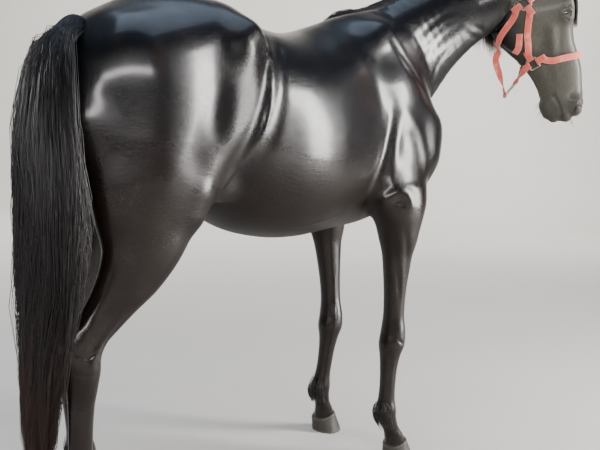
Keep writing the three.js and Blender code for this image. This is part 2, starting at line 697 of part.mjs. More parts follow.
// A flat lock of hair along a path: widest a third of the way down, tapering to its tip
function lockSolid(path, wide, thick, outward) {
  const rings = [];
  for (let i = 0; i + 1 < path.length; i++) {
    const t = i / (path.length - 1);
    const ahead = path[i + 1].clone().sub(path[Math.max(i - 1, 0)]).normalize();
    const out = outward(i).clone();
    out.addScaledVector(ahead, -out.dot(ahead)).normalize();
    const across = ahead.clone().cross(out);
    const size = Math.min(1, 0.62 + t * 1.6) * Math.pow(1 - t, 0.55);
    rings.push([
      path[i].clone().addScaledVector(across, (wide / 2) * size),
      path[i].clone().addScaledVector(out, (thick / 2) * size),
      path[i].clone().addScaledVector(across, (-wide / 2) * size),
      path[i].clone().addScaledVector(out, (-thick / 2) * size),
    ]);
  }
  return stripSolid(rings, path[path.length - 1]);
}

// Lets a lock fall from its root: it bends down with each step and is kept off the body
function fall({ root, ahead, length, steps, droop, lift, keepOff, cling = 0 }) {
  const path = [root.clone()];
  const way = ahead.clone().normalize();
  const p = root.clone();
  for (let i = 1; i <= steps; i++) {
    way.lerp(new THREE.Vector3(0, 0, -1), droop).normalize();
    p.addScaledVector(way, length / steps);
    const over = i === 1 ? lift * 0.4 : lift;
    for (let round = 0; round < 3; round++) {
      const d = keepOff(p.x, p.y, p.z);
      const g = slopeOf(keepOff, p).normalize();
      if (d < over) p.addScaledVector(g, over - d);
      else p.addScaledVector(g, (over - d) * cling);
    }
    way.copy(p).sub(path[path.length - 1]).normalize();
    path.push(p.clone());
  }
  return path;
}

// A field cut off where a distance to the neighbour's side turns positive
const upTo = (field, past) => (x, y, z) =>
  Math.max(field(x, y, z), past(x, y, z) + CLEARANCE / 2 - 1e-3);

// A closed skin cast outwards from the middle of each ring until it meets the field; end faces stay flat
function castSolid(field, rings, sides, lift = 0) {
  const points = [];
  for (const { centre, u, v, a, b, tip } of rings) {
    if (tip) {
      points.push(centre.clone());
      continue;
    }
    for (let j = 0; j < sides; j++) {
      const angle = ((j + 0.5) / sides) * 2 * Math.PI;
      const way = u.clone().multiplyScalar(a * Math.cos(angle));
      way.addScaledVector(v, b * Math.sin(angle)).normalize();
      const at = (r) => field(centre.x + way.x * r, centre.y + way.y * r, centre.z + way.z * r) - lift;
      let inner = 0;
      let outer = 8;
      while (at(outer) < 0 && outer < 600) {
        inner = outer;
        outer += 8;
      }
      for (let round = 0; round < 12; round++) {
        const half = (inner + outer) / 2;
        if (at(half) < 0) inner = half;
        else outer = half;
      }
      points.push(centre.clone().addScaledVector(way, inner));
    }
  }
  const first = rings[0].tip ? 1 : 0;
  const triangles = [];
  const start = (i) => (i < first ? 0 : first + (i - first) * sides);
  for (let i = first; i + 1 < rings.length && !rings[i + 1].tip; i++)
    for (let j = 0; j < sides; j++) {
      const [p, q] = [start(i) + j, start(i) + ((j + 1) % sides)];
      if (points[p].distanceTo(points[q + sides]) < points[q].distanceTo(points[p + sides]))
        triangles.push(p, q, q + sides, p, q + sides, p + sides);
      else triangles.push(p, q, p + sides, q, q + sides, p + sides);
    }
  const capped = (ring, middle, flip) => {
    for (let j = 0; j < sides; j++) {
      const [p, q] = [start(ring) + j, start(ring) + ((j + 1) % sides)];
      triangles.push(...(flip ? [middle, q, p] : [middle, p, q]));
    }
  };
  if (first) capped(1, 0, true);
  else capped(0, points.push(rings[0].centre.clone()) - 1, true);
  const last = rings.length - 1;
  if (rings[last].tip) capped(last - 1, start(last), false);
  else capped(last, points.push(rings[last].centre.clone()) - 1, false);
  return solidFrom(points, triangles);
}

const X_AXIS = new THREE.Vector3(1, 0, 0);
const Y_AXIS = new THREE.Vector3(0, 1, 0);
const Z_AXIS = new THREE.Vector3(0, 0, 1);
const behind = (x) => halfSpace(new THREE.Vector3(x, 0, 0), X_AXIS.clone().negate());
const ahead = (x) => halfSpace(new THREE.Vector3(x, 0, 0), X_AXIS);
const above = (z) => halfSpace(new THREE.Vector3(0, 0, z), Z_AXIS);

// Trunk: hindquarters, barrel and shoulders
const hindBox = [[-850, -330, GROIN_CUT - 60], [FLANK_CUT + 60, 260, 1650]];
const hindquarters = netSolid(flesh, ...hindBox, CELL.hindquarters);
const foreBox = [[GIRTH_CUT - 60, -300, ELBOW_CUT - 50], [800, 300, 1690]];
const shoulders = netSolid(flesh, ...foreBox, CELL.shoulders);
const neckFoot = vector(NECK_CUT.point);
const neckFootNormal = vector(NECK_CUT.normal).normalize();
const trunkSide = halfSpace(neckFoot, neckFootNormal.clone().negate());
const barrelRings = [];
for (let i = 0; i <= BARREL_RINGS; i++) {
  const from = FLANK_CUT + CLEARANCE / 2;
  const x = from + ((GIRTH_CUT - CLEARANCE / 2 - from) * i) / BARREL_RINGS;
  const centre = new THREE.Vector3(x, swayAt(x), 1180);
  barrelRings.push({ centre, u: Y_AXIS, v: Z_AXIS, a: 1, b: 1.15 });
}

// The head is parted from the neck by a plane through the poll and the throat
const pollLine = new THREE.Vector2(...HEAD_CUT.throat).sub(new THREE.Vector2(...HEAD_CUT.poll));
const headCutMiddle = HEAD_CUT.poll.map((v, i) => (v + HEAD_CUT.throat[i]) / 2);
const headCutNormal = wayInHead(-pollLine.y, 0, pollLine.x).normalize();
const headCutCentre = inHead(headCutMiddle[0], 0, headCutMiddle[1]);

// How far a point is inside the head: ahead of the plane behind the jaw, and on the jaw's side of the throat
const throatAngle = radians(HEAD_CUT.angle);
function headSide(x, y, z) {
  const p = new THREE.Vector3(x, y, z);
  const fromPoll = p.clone().sub(headCutCentre).dot(headCutNormal);
  const { x: along, z: up } = p.applyMatrix4(toHead);
  const [a, d] = [along - HEAD_CUT.throat[0], up - HEAD_CUT.throat[1]];
  return Math.min(fromPoll, a * Math.sin(throatAngle) + d * Math.cos(throatAngle), up - HEAD_CUT.back);
}

// Beside the jaw the neck keeps its own width
function neckFlesh(x, y, z) {
  const { z: up } = new THREE.Vector3(x, y, z).applyMatrix4(toHead);
  const near = THREE.MathUtils.smoothstep(headSide(x, y, z), -220, -90);
  const own = THREE.MathUtils.smoothstep(-up, ...CREASE) * near;
  return mix(flesh(x, y, z), flesh(x, y, z, true), own);
}
const throatNormal = wayInHead(Math.sin(throatAngle), 0, Math.cos(throatAngle));
const headBox = halfSpace(headCutCentre, headCutNormal)
  .intersect(halfSpace(inHead(HEAD_CUT.throat[0], 0, HEAD_CUT.throat[1]), throatNormal))
  .intersect(halfSpace(inHead(0, 0, HEAD_CUT.back), wayInHead(0, 0, 1)));
const neckNet = netSolid(neckFlesh, NECK_BOX.low, NECK_BOX.high, CELL.neck);

// Head: rings that turn from the plane behind the jaw to square across the nose, then close over the lips
const headRings = [];
for (let i = 0; i <= HEAD_RINGS; i++) {
  const t = i / HEAD_RINGS;
  const along = mix(headCutMiddle[0], 636, Math.pow(t, 0.95));
  const turn = THREE.MathUtils.smoothstep(t, 0, 0.4);
  const normal = new THREE.Vector2(-pollLine.y, pollLine.x).normalize().lerp(new THREE.Vector2(1, 0), turn);
  normal.normalize();
  const up = mix(headCutMiddle[1], headAxis(along), THREE.MathUtils.smoothstep(t, 0, 0.25));
  const centre = inHead(along, 0, up);
  if (i === 0) centre.addScaledVector(headCutNormal, CLEARANCE / 2);
  const v = wayInHead(-normal.y, 0, normal.x);
  if (i === HEAD_RINGS) centre.copy(settle(flesh, inHead(660, 0, -104)));
  headRings.push({ centre, u: wayInHead(0, 1, 0), v, a: 1, b: 1.5, tip: i === HEAD_RINGS });
}
// Under the cheek the head is not joined to the neck
function headFlesh(x, y, z) {
  const h = new THREE.Vector3(x, y, z).applyMatrix4(toHead);
  const own = THREE.MathUtils.smoothstep(-h.z, ...CREASE);
  return mix(flesh(x, y, z), headField(h.x, h.y, h.z), own);
}
const skull = castSolid(upTo(headFlesh, (x, y, z) => -headSide(x, y, z)), headRings, HEAD_SIDES);
const neckFull = neckNet.intersect(halfSpace(neckFoot, neckFootNormal)).subtract(headBox);
const neckBody = largest(neckFull.subtract(grown(skull)));

// Eyes in their sockets, between an upper and a lower lid
function almond(radius, reach) {
  const shape = new THREE.Shape();
  shape.moveTo(-LID.along, -2);
  shape.quadraticCurveTo(-2, LID.up + 4, LID.along, 3);
  shape.quadraticCurveTo(-4, -LID.up * 0.75, -LID.along, -2);
  return new THREE.ExtrudeGeometry(shape, { depth: reach, bevelEnabled: false, curveSegments: 6 });
}
function eyeParts(hand) {
  const centre = inHead(EYE.along, EYE.side * hand, EYE.up);
  const outward = wayInHead(EYE.turn, hand, 0.12);
  const alongFace = wayInHead(1, 0, 0);
  alongFace.addScaledVector(outward, -alongFace.dot(outward)).normalize();
  if (hand > 0) alongFace.negate();
  const upFace = outward.clone().cross(alongFace);
  const place = new THREE.Matrix4().makeBasis(alongFace, upFace, outward).setPosition(centre);
  const ball = solidOf(new THREE.SphereGeometry(EYE.radius, 12, 8), place);
  const socket = solidOf(new THREE.SphereGeometry(EYE.radius + CLEARANCE * 2, 12, 8), place);
  const hood = solidOf(new THREE.SphereGeometry(EYE.radius + LID.thick, 12, 8).scale(1.2, 1, 1), place);
  const opening = solidOf(almond(EYE.radius, 60), place);
  return { ball, socket, hood, opening };
}

// Nostrils open outwards and downwards, comma shaped; the mouth is a groove that follows the lips
function nostrilHollow(hand) {
  const made = new THREE.SphereGeometry(1, 14, 10);
  made.scale(...NOSTRIL.radii);
  const place = new THREE.Matrix4().makeRotationY(NOSTRIL.tilt);
  place.premultiply(new THREE.Matrix4().makeRotationZ(-hand * NOSTRIL.splay));
  place.setPosition(NOSTRIL.along, NOSTRIL.side * hand, NOSTRIL.up);
  return solidOf(made, place.premultiply(headFrame));
}
function mouthGroove() {
  const [a0, d0] = MOUTH.corner;
  const [a1, d1] = MOUTH.front;
  const length = Math.hypot(a1 - a0, d1 - d0) + 60;
  const slab = new THREE.BoxGeometry(length, 200, MOUTH.open);
  slab.translate(length / 2, 0, 0);
  slab.rotateY(-Math.atan2(d1 - d0, a1 - a0));
  slab.translate(a0, 0, d0);
  const groove = solidOf(slab, headFrame);
  const core = castSolid(flesh, headRings.slice(-9).map((ring) => ring.tip
    ? { ...ring, centre: ring.centre.clone().addScaledVector(wayInHead(1, 0, 0), -MOUTH.deep) }
    : ring), HEAD_SIDES, -MOUTH.deep);
  return groove.subtract(core);
}

// Ears: a pointed leaf, hollowed from the front
function earRings(hand, grow, hollow) {
  const up = wayInHead(-Math.cos(EAR.lean), hand * EAR.splay, Math.sin(EAR.lean)).normalize();
  const face = wayInHead(Math.sin(EAR.lean) + 0.15, hand * 0.75, Math.cos(EAR.lean) * 0.7);
  face.addScaledVector(up, -face.dot(up)).normalize();
  const across = up.clone().cross(face);
  const rings = [];
  const base = inHead(EAR.base[0], EAR.base[1] * hand, EAR.base[2]).addScaledVector(up, -grow);
  const from = hollow ? 0.2 : 0;
  for (let i = 0; i <= EAR.rings; i++) {
    const t = mix(from, hollow ? 0.93 : 1, i / EAR.rings);
    const size = Math.pow(Math.sin(Math.PI * Math.pow(mix(0.05, 1, t), 0.78)), 0.75);
    const wide = EAR.wide * size - (hollow ? EAR.thick : 0) + grow;
    const deep = EAR.wide * 0.8 * size - (hollow ? EAR.thick : 0) + grow;
    const centre = base.clone().addScaledVector(up, EAR.length * t);
    centre.addScaledVector(face, EAR.curl * Math.sin(Math.PI * t) + (hollow ? EAR.open : 0));
    const [a, b] = [Math.max(wide, 2), Math.max(deep, 2)];
    rings.push({ centre, u: across, v: face, a, b, tip: i === EAR.rings });
  }
  return rings;
}
function ovalSolid(rings, sides) {
  const points = rings.map(({ centre, u, v, a, b }) =>
    Array.from({ length: sides }, (_, j) => {
      const angle = (j / sides) * 2 * Math.PI;
      return centre.clone().addScaledVector(u, a * Math.cos(angle)).addScaledVector(v, b * Math.sin(angle));
    }));
  const tip = rings[rings.length - 1].tip ? rings[rings.length - 1].centre : null;
  return stripSolid(tip ? points.slice(0, -1) : points, tip);
}
function earSolid(hand) {
  return ovalSolid(earRings(hand, 0, false), 10).subtract(ovalSolid(earRings(hand, 0, true), 8));
}

// Legs: cast downwards ring by ring, parted at the knee or hock and at the coronet
function legParts(name) {
  const { place, stations, hand } = quarters[name];
  const fore = name.startsWith("fore");
  const front = rail(stations, "front");
  const back = rail(stations, "back");
  const side = rail(stations, "side");
  const wide = rail(stations, "wide");
  const middle = (z) => place((front(z) + back(z)) / 2, side(z), z);
  const ring = (z) => ({ centre: middle(z), u: X_AXIS, v: Y_AXIS, a: front(z) - back(z), b: wide(z) * 2 });
  const spread = (from, to, count) => Array.from({ length: count + 1 }, (_, i) => mix(from, to, i / count));
  const top = fore ? ELBOW_CUT : GROIN_CUT;
  const split = fore ? KNEE_CUT : HOCK_CUT;
  const half = CLEARANCE / 2;
  const upperRings = spread(top - half, split + half, LEG_RINGS.upper).map((z) => ring(z));
  const upper = castSolid(flesh, upperRings, LEG_SIDES);
  const toeAt = place(front(HOOF.coronetToe), side(0), HOOF.coronetToe);
  const heelAt = place(back(HOOF.coronetHeel), side(0), HOOF.coronetHeel);
  const coronetWay = toeAt.clone().sub(heelAt);
  const coronet = {
    centre: toeAt.clone().add(heelAt).divideScalar(2),
    u: coronetWay.clone().setY(0).normalize(),
    v: Y_AXIS,
    a: coronetWay.length(),
    b: wide(75) * 2,
  };
  const rings = LEG_RINGS[fore ? "fore" : "hind"].map((z) => ring(z));
  rings[0] = ring(split - half);
  const tilt = (amount, z) => {
    const made = ring(z);
    made.u = X_AXIS.clone().lerp(coronet.u, amount).normalize();
    return made;
  };
  rings.push(tilt(0.5, 125), tilt(0.85, 98), coronet);
  const lower = castSolid(flesh, rings, LEG_SIDES);
  return { upper, lower, coronet, hand };
}

// A hoof flares from the coronet to a flat sole
function hoofSolid({ coronet }) {
  const sides = HOOF.sides;
  const up = coronet.u.clone().cross(Y_AXIS).normalize();
  if (up.z < 0) up.negate();
  const top = [];
  const ground = [];
  for (let j = 0; j < sides; j++) {
    const angle = ((j + 0.5) / sides) * 2 * Math.PI;
    const [c, s] = [Math.cos(angle), Math.sin(angle)];
    const way = coronet.u.clone().multiplyScalar(coronet.a * c);
    way.addScaledVector(Y_AXIS, coronet.b * s).normalize();
    let reach = 20;
    const p = coronet.centre;
    while (flesh(p.x + way.x * reach, p.y + way.y * reach, p.z + way.z * reach) < 0 && reach < 90) reach += 1;
    top.push(p.clone().addScaledVector(way, reach + HOOF.rim).addScaledVector(up, -CLEARANCE));
    const heel = Math.max(-c - 0.25, 0);
    const oval = c > 0 ? HOOF.toe : HOOF.heel;
    ground.push(new THREE.Vector3(p.x + HOOF.ahead + oval * c + heel * 10, p.y + HOOF.wide * s, 0));
  }
  const between = (t) => top.map((q, j) => ground[j].clone().lerp(q, t));
  const worn = ground.map((q, j) => q.clone().lerp(top[j].clone().setZ(0), 0.06));
  return stripSolid([worn, between(0.1), between(0.55), between(0.93), top], null);
}

// Hair that falls from the crest, the poll, the fetlocks and the dock
function maneLocks() {
  const locks = [];
  for (let i = 0; i < MANE.locks; i++) {
    const t = mix(MANE.from, MANE.to, (i + 0.5 * random(i)) / MANE.locks);
    const centre = neckLine.getPoint(t);
    const onward = neckLine.getTangent(t);
    const left = Z_AXIS.clone().cross(onward).normalize();
    const up = onward.clone().cross(left);
    const crest = settle(flesh, centre.clone().addScaledVector(up, neckDepth(t)));
    const root = crest.clone().addScaledVector(up, -MANE.sunk).addScaledVector(left, 6 * random(i + 50) - 2);
    const shorter = mix(1, MANE.atPoll, THREE.MathUtils.smoothstep(t, 0.5, 0.85));
    const path = fall({
      root,
      ahead: left.clone().addScaledVector(up, 0.35).addScaledVector(onward, 0.3 * random(i + 9) - 0.2),
      length: MANE.length * shorter * (0.82 + 0.3 * random(i + 20)),
      steps: MANE.steps,
      droop: 0.42,
      lift: MANE.thick * (i % 2 ? 0.75 : 0.4),
      keepOff: flesh,
      cling: 0.3,
    });
    locks.push(lockSolid(path, MANE.wide, MANE.thick, (k) => slopeOf(flesh, path[k]).normalize()));
  }
  return locks;
}
function forelockLocks() {
  const locks = [];
  for (let i = 0; i < FORELOCK.locks; i++) {
    const s = (i + 0.5) / FORELOCK.locks - 0.5;
    const root = settle(flesh, inHead(6 + 10 * random(i), 34 * s, 10));
    root.addScaledVector(wayInHead(0, 0, 1), -10);
    const path = fall({
      root,
      ahead: wayInHead(0.8, s * 0.9, 0.8),
      length: FORELOCK.length * (0.8 + 0.35 * random(i + 3)),
      steps: FORELOCK.steps,
      droop: 0.5,
      lift: FORELOCK.thick * (i % 2 ? 0.8 : 0.42),
      keepOff: flesh,
      cling: 0.6,
    });
    locks.push(lockSolid(path, FORELOCK.wide, FORELOCK.thick, (k) => slopeOf(flesh, path[k]).normalize()));
  }
  return locks;
}
function featherLocks(name) {
  const { place, stations } = quarters[name];
  const back = rail(stations, "back");
  const wide = rail(stations, "wide");
  const side = rail(stations, "side");
  const locks = [];
  for (let i = 0; i < FEATHER.locks; i++) {
    const s = ((i + 0.5) / FEATHER.locks) * 2 - 1;
    const z = FEATHER.height + 22 * random(i + 31) - 12 * s * s;
    const root = place(back(z) + 14 + 22 * s * s, side(z) + wide(z) * 0.75 * s, z);
    const path = fall({
      root,
      ahead: new THREE.Vector3(-0.35, 0.3 * s, -1),
      length: FEATHER.length * (0.8 + 0.4 * random(i + 40)),
      steps: FEATHER.steps,
      droop: 0.1,
      lift: FEATHER.thick * 0.55,
      keepOff: flesh,
      cling: 0.25,
    });
    const away = path[1].clone().sub(place((back(z) + 60), side(z), z)).setZ(0).normalize();
    locks.push(lockSolid(path, FEATHER.wide, FEATHER.thick, () => away));
  }
  return locks;
}
const tailPoints = TAIL.line.map(([x, y, z]) => new THREE.Vector3(x, y + SWAY.by, z));
const tailLine = new THREE.CatmullRomCurve3(tailPoints);
function tailSolids() {
  const rings = [];
  for (let i = 0; i <= TAIL.rings; i++) {
    const t = (i / TAIL.rings) * TAIL.core;
    const centre = tailLine.getPointAt(t);
    const onward = tailLine.getTangentAt(t);
    const u = Y_AXIS.clone();
    const size = TAIL.dock * (t < 0.12 ? 1 : 1.15) * (i === TAIL.rings ? 0.4 : 1);
    rings.push({ centre, u, v: onward.clone().cross(u).normalize(), a: size, b: size * 0.72 });
  }
  const solids = [ovalSolid(rings, 8)];
  for (let i = 0; i < TAIL.locks; i++) {
    const ring = i / TAIL.locks;
    const angle = i * 2.399 + 0.4 * random(i);
    const from = TAIL.first + (TAIL.lastRoot - TAIL.first) * ring;
    const onward = tailLine.getTangentAt(from);
    const back = onward.clone().cross(Y_AXIS).normalize();
    const out = Y_AXIS.clone().multiplyScalar(Math.cos(angle));
    out.addScaledVector(back, TAIL.deep * Math.sin(angle));
    const until = Math.min(1, TAIL.reach + (1 - TAIL.reach) * random(i + 70));
    const path = [];
    for (let k = 0; k <= TAIL.steps; k++) {
      const t = mix(from, until, k / TAIL.steps);
      const swell = Math.sin(Math.PI * Math.pow(k / TAIL.steps, 0.75)) * (0.7 + 0.4 * ring);
      const far = k === 0 ? TAIL.dock * 0.3 : TAIL.dock * 0.6 + TAIL.spread * swell;
      const p = tailLine.getPointAt(t).addScaledVector(out, far);
      p.y += out.y * TAIL.spread * (TAIL.aside - 1) * swell;
      p.x += 7 * Math.sin(k * 1.3 + i);
      p.y += 6 * Math.sin(k * 1.1 + i * 2);
      path.push(p);
    }
    const away = out.clone().normalize();
    solids.push(lockSolid(path, TAIL.wide * (0.8 + 0.4 * random(i + 5)), TAIL.thick, () => away));
  }
  return solids;
}

// Halter: straps laid on the head, folded round the bars of square rings
const BAR_TURN = HALTER.bar + HALTER.slack + HALTER.thick / 2;
const STRAP_HEIGHT = HALTER.lift + HALTER.thick / 2;
const RING_HEIGHT = STRAP_HEIGHT + BAR_TURN;
function ringFrame(at, hand, turn) {
  const surface = settle(flesh, inHead(at[0], at[1] * hand, at[2]));
  const normal = slopeOf(flesh, surface, 12).normalize();
  const down = wayInHead(Math.cos(radians(turn)), 0, Math.sin(radians(turn)));
  const one = down.addScaledVector(normal, -down.dot(normal)).normalize();
  const two = normal.clone().cross(one).multiplyScalar(hand);
  return { middle: surface.addScaledVector(normal, RING_HEIGHT), normal, one, two, half: HALTER.ring };
}
function ringSolid({ middle, normal, one, two, half }) {
  const near = half - HALTER.corner;
  const corner = [[half, near], [near, half]];
  const side = [...corner, ...corner.map(([a, b]) => [-b, a])];
  const line = [...side, ...side.map(([a, b]) => [-a, -b])];
  const points = line.map(([a, b]) => middle.clone().addScaledVector(one, a).addScaledVector(two, b));
  const sections = points.map((p, i) => {
    const before = points[(i + points.length - 1) % points.length];
    const after = points[(i + 1) % points.length];
    const way = after.clone().sub(before).normalize();
    const out = p.clone().sub(middle);
    out.addScaledVector(way, -out.dot(way)).normalize();
    return Array.from({ length: 6 }, (_, j) => {
      const angle = (j / 6) * 2 * Math.PI;
      return p.clone().addScaledVector(out, HALTER.bar * Math.cos(angle))
        .addScaledVector(normal, HALTER.bar * Math.sin(angle));
    });
  });
  const triangles = [];
  sections.forEach((_, i) => {
    const next = (i + 1) % sections.length;
    for (let j = 0; j < 6; j++) {
      const [p, q] = [i * 6 + j, i * 6 + ((j + 1) % 6)];
      const [r, s] = [next * 6 + j, next * 6 + ((j + 1) % 6)];
      triangles.push(p, q, r, q, s, r);
    }
  });
  return solidFrom(sections.flat(), triangles);
}
// The fold of a strap round one bar, from its free end to where it leaves the bar
function foldRound(bar, way, normal, reach = HALTER.flap) {
  const flap = HALTER.thick + 0.6 - BAR_TURN;
  const steps = [[reach, flap, 0, 1], [reach * 0.44, flap + 1, 0, 1]];
  for (let k = 0; k <= 3; k++) {
    const angle = Math.PI / 2 + (k / 3) * Math.PI;
    steps.push([BAR_TURN * Math.cos(angle), BAR_TURN * Math.sin(angle), Math.cos(angle), Math.sin(angle)]);
  }
  steps.push([reach * 0.47, -BAR_TURN, 0, -1]);
  return steps.map(([out, high, nOut, nHigh]) => ({
    p: bar.clone().addScaledVector(way, out).addScaledVector(normal, high),
    n: way.clone().multiplyScalar(nOut).addScaledVector(normal, nHigh),
  }));
}
const foldAt = ({ middle, normal, half }, way, reach) =>
  foldRound(middle.clone().addScaledVector(way, half), way, normal, reach);
// A strap through points: laid on the head at its own height, or, if it is free, hanging between its ends
function strapSolid(points, steps, startFold, endFold, { rise = 0, free = false, twist = 0 } = {}) {
  const start = startFold ?? [];
  const end = endFold ? [...endFold].reverse() : [];
  const first = start.slice(-1);
  const last = end.slice(0, 1);
  const curve = new THREE.CatmullRomCurve3([...first.map((q) => q.p), ...points, ...last.map((q) => q.p)]);
  const run = [];
  for (let k = first.length ? 1 : 0; k <= steps - (last.length ? 1 : 0); k++) {
    const p = curve.getPointAt(k / steps);
    const off = flesh(p.x, p.y, p.z);
    const n = slopeOf(flesh, p, 14).normalize();
    if (off < STRAP_HEIGHT + rise) p.addScaledVector(n, STRAP_HEIGHT + rise - off);
    n.negate();
    if (free) n.lerpVectors(first[0].n, last.length ? last[0].n : n.clone(), k / steps);
    const turned = twist * Math.pow(Math.sin((Math.PI * k) / steps), 2);
    n.addScaledVector(wayInHead(0, 1, 0), turned).normalize();
    run.push({ p, n });
  }
  const line = [...start, ...run, ...end];
  const rings = line.map(({ p, n }, i) => {
    const before = line[Math.max(i - 1, 0)].p;
    const after = line[Math.min(i + 1, line.length - 1)].p;
    const way = after.clone().sub(before).normalize();
    const face = n.clone().addScaledVector(way, -n.dot(way)).normalize();
    const across = way.clone().cross(face);
    const [w, t] = [HALTER.wide / 2, HALTER.thick / 2];
    return [[1, 1], [-1, 1], [-1, -1], [1, -1]].map(([a, b]) =>
      p.clone().addScaledVector(across, a * w).addScaledVector(face, b * t));
  });
  return stripSolid(rings, null);
}
const laid = (places, hand = 1, lift = 0) =>
  places.map(([a, s, d]) => settle(flesh, inHead(a, s * hand, d), STRAP_HEIGHT + lift));
const bothSides = (places) => {
  const otherWay = [...places].reverse().filter(([, s]) => s !== 0);
  return [...laid(places), ...laid(otherWay, -1)];
};

function halterSolids() {
  const made = {};
  const add = (name, solid, look = "webbing") => { made["halter_" + name] = { solid, look }; };
  const places = HALTER_PLACES;
  const back = (way) => way.clone().negate();
  const rings = {};
  for (const [side, hand] of [["left", 1], ["right", -1]]) {
    const upper = ringFrame(places.upperRing, hand, places.upperTurn);
    const lower = ringFrame(places.lowerRing, hand, places.lowerTurn);
    rings[side] = { upper, lower };
    add("ring_upper_" + side, ringSolid(upper), "ring");
    add("ring_lower_" + side, ringSolid(lower), "ring");
    const folds = [foldAt(lower, back(lower.one)), foldAt(upper, upper.one)];
    add("cheek_" + side, strapSolid(laid(places.cheek, hand), 6, ...folds));
  }
  const { left, right } = rings;
  const toFace = ({ two }) => (two.dot(wayInHead(0, 0, 1)) > 0 ? two.clone() : two.clone().negate());
  const toJaw = (frame) => toFace(frame).negate();
  const across = (name, guide, steps, ring, way) => {
    const folds = [left[ring], right[ring]].map((frame) => foldAt(frame, way(frame)));
    add(name, strapSolid(bothSides(guide), steps, ...folds));
  };
  across("crown", places.crown, 18, "upper", toFace);
  across("noseband", places.nose, 14, "lower", toFace);
  across("throat", places.throat, 18, "upper", toJaw);

  // The ring under the chin hangs free in the loop of the two chin straps
  const up = wayInHead(places.chinTilt[0], 0, places.chinTilt[1]);
  const aside = wayInHead(0, 1, 0);
  const chin = {
    middle: inHead(...places.chinRing),
    normal: aside.clone().cross(up),
    one: up,
    two: aside,
    half: HALTER.chinRing,
  };
  add("ring_chin", ringSolid(chin), "ring");
  const bar = chin.middle.clone().addScaledVector(up, chin.half);
  for (const [side, hand] of [["left", 1], ["right", -1]]) {
    const { lower } = rings[side];
    const place = bar.clone().addScaledVector(aside, hand * (HALTER.wide / 2 + 1));
    const fold = foldRound(place, up, chin.normal);
    const upperFold = foldAt(lower, toJaw(lower), HALTER.flap * 0.6);
    add("chin_" + side, strapSolid([], 6, upperFold, fold, { free: true }));
  }
  const away = wayInHead(-1, 0, -0.1);
  const jawBar = chin.middle.clone().addScaledVector(up, -chin.half);
  const jawFold = foldRound(jawBar, away, away.clone().cross(aside).normalize());
  const rise = HALTER.thick + HALTER.over;
  const jawLine = [...places.jaw.map((q) => inHead(...q)), ...laid(places.jawEnd, 1, rise)];
  add("jaw", strapSolid(jawLine, 8, jawFold, null, { rise, free: true, twist: HALTER.twist }));
  add("tongue", strapSolid(laid(places.tongue, -1), 5, null, null));
  return made;
}

// Nodes
const rumpCut = hindquarters.intersect(behind(FLANK_CUT)).intersect(above(GROIN_CUT));
const rump = addNode("hindquarters", rumpCut, "coat");
addNode("barrel", castSolid(flesh, barrelRings, BARREL_SIDES), "coat");
const chest = shoulders.intersect(ahead(GIRTH_CUT)).intersect(above(ELBOW_CUT)).intersect(trunkSide);
addNode("shoulders", chest, "coat");
let tail = unite(tailSolids()).subtract(grown(rump));
for (const name of Object.keys(quarters)) {
  const leg = legParts(name);
  addNode(name + "_upper", leg.upper, "coat");
  const hoof = addNode(name + "_hoof", hoofSolid(leg), "hoof");
  const shank = unite([leg.lower, ...featherLocks(name)]).subtract(grown(hoof));
  addNode(name + "_lower", shank, "coat");
  if (name.startsWith("hind")) tail = tail.subtract(grown(leg.upper)).subtract(grown(leg.lower));
}
addNode("tail", tail, "tailHair");

const eyes = { right: eyeParts(-1), left: eyeParts(1) };
const ears = { right: -1, left: 1 };
let face = skull;
for (const [side, { socket, hood, opening }] of Object.entries(eyes)) {
  face = face.add(hood.subtract(grown(neckBody, 1))).subtract(opening).subtract(socket);
  face = face.subtract(nostrilHollow(side === "left" ? 1 : -1));
}
face = face.subtract(mouthGroove());
const halter = halterSolids();
const forelock = unite(forelockLocks());
for (const [side, hand] of Object.entries(ears)) {
  const plug = ovalSolid(earRings(hand, CLEARANCE * 2, false), 10);
  const ear = addNode("ear_" + side, largest(earSolid(hand).subtract(grown(neckBody))), "coat");
  face = face.subtract(plug);
  ears[side] = { ear, plug };
}
face = face.add(forelock.subtract(ears.left.plug).subtract(ears.right.plug).subtract(grown(neckBody)));
const mane = unite(maneLocks()).subtract(grown(chest)).subtract(grown(face));
let crest = neckBody.add(mane);
for (const { plug } of Object.values(ears)) crest = crest.subtract(plug);
for (const strap of Object.values(halter)) {
  if (face.intersect(strap.solid).volume() > 0) face = face.subtract(grown(strap.solid, HALTER.cut));
  if (crest.intersect(strap.solid).volume() > 0) crest = crest.subtract(grown(strap.solid, HALTER.cut));
}
addNode("head", face, "coat");
addNode("neck", crest, "coat");
for (const [side, { ball }] of Object.entries(eyes)) addNode("eye_" + side, ball, "eye");
for (const [name, { solid, look }] of Object.entries(halter)) addNode(name, solid, look);

// The part stands on its origin, in the middle of its outline on the floor
const outline = new THREE.Box3().setFromObject(part);
part.position.set(-(outline.min.x + outline.max.x) / 2, -(outline.min.y + outline.max.y) / 2, 0);
export default part;
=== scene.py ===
import math

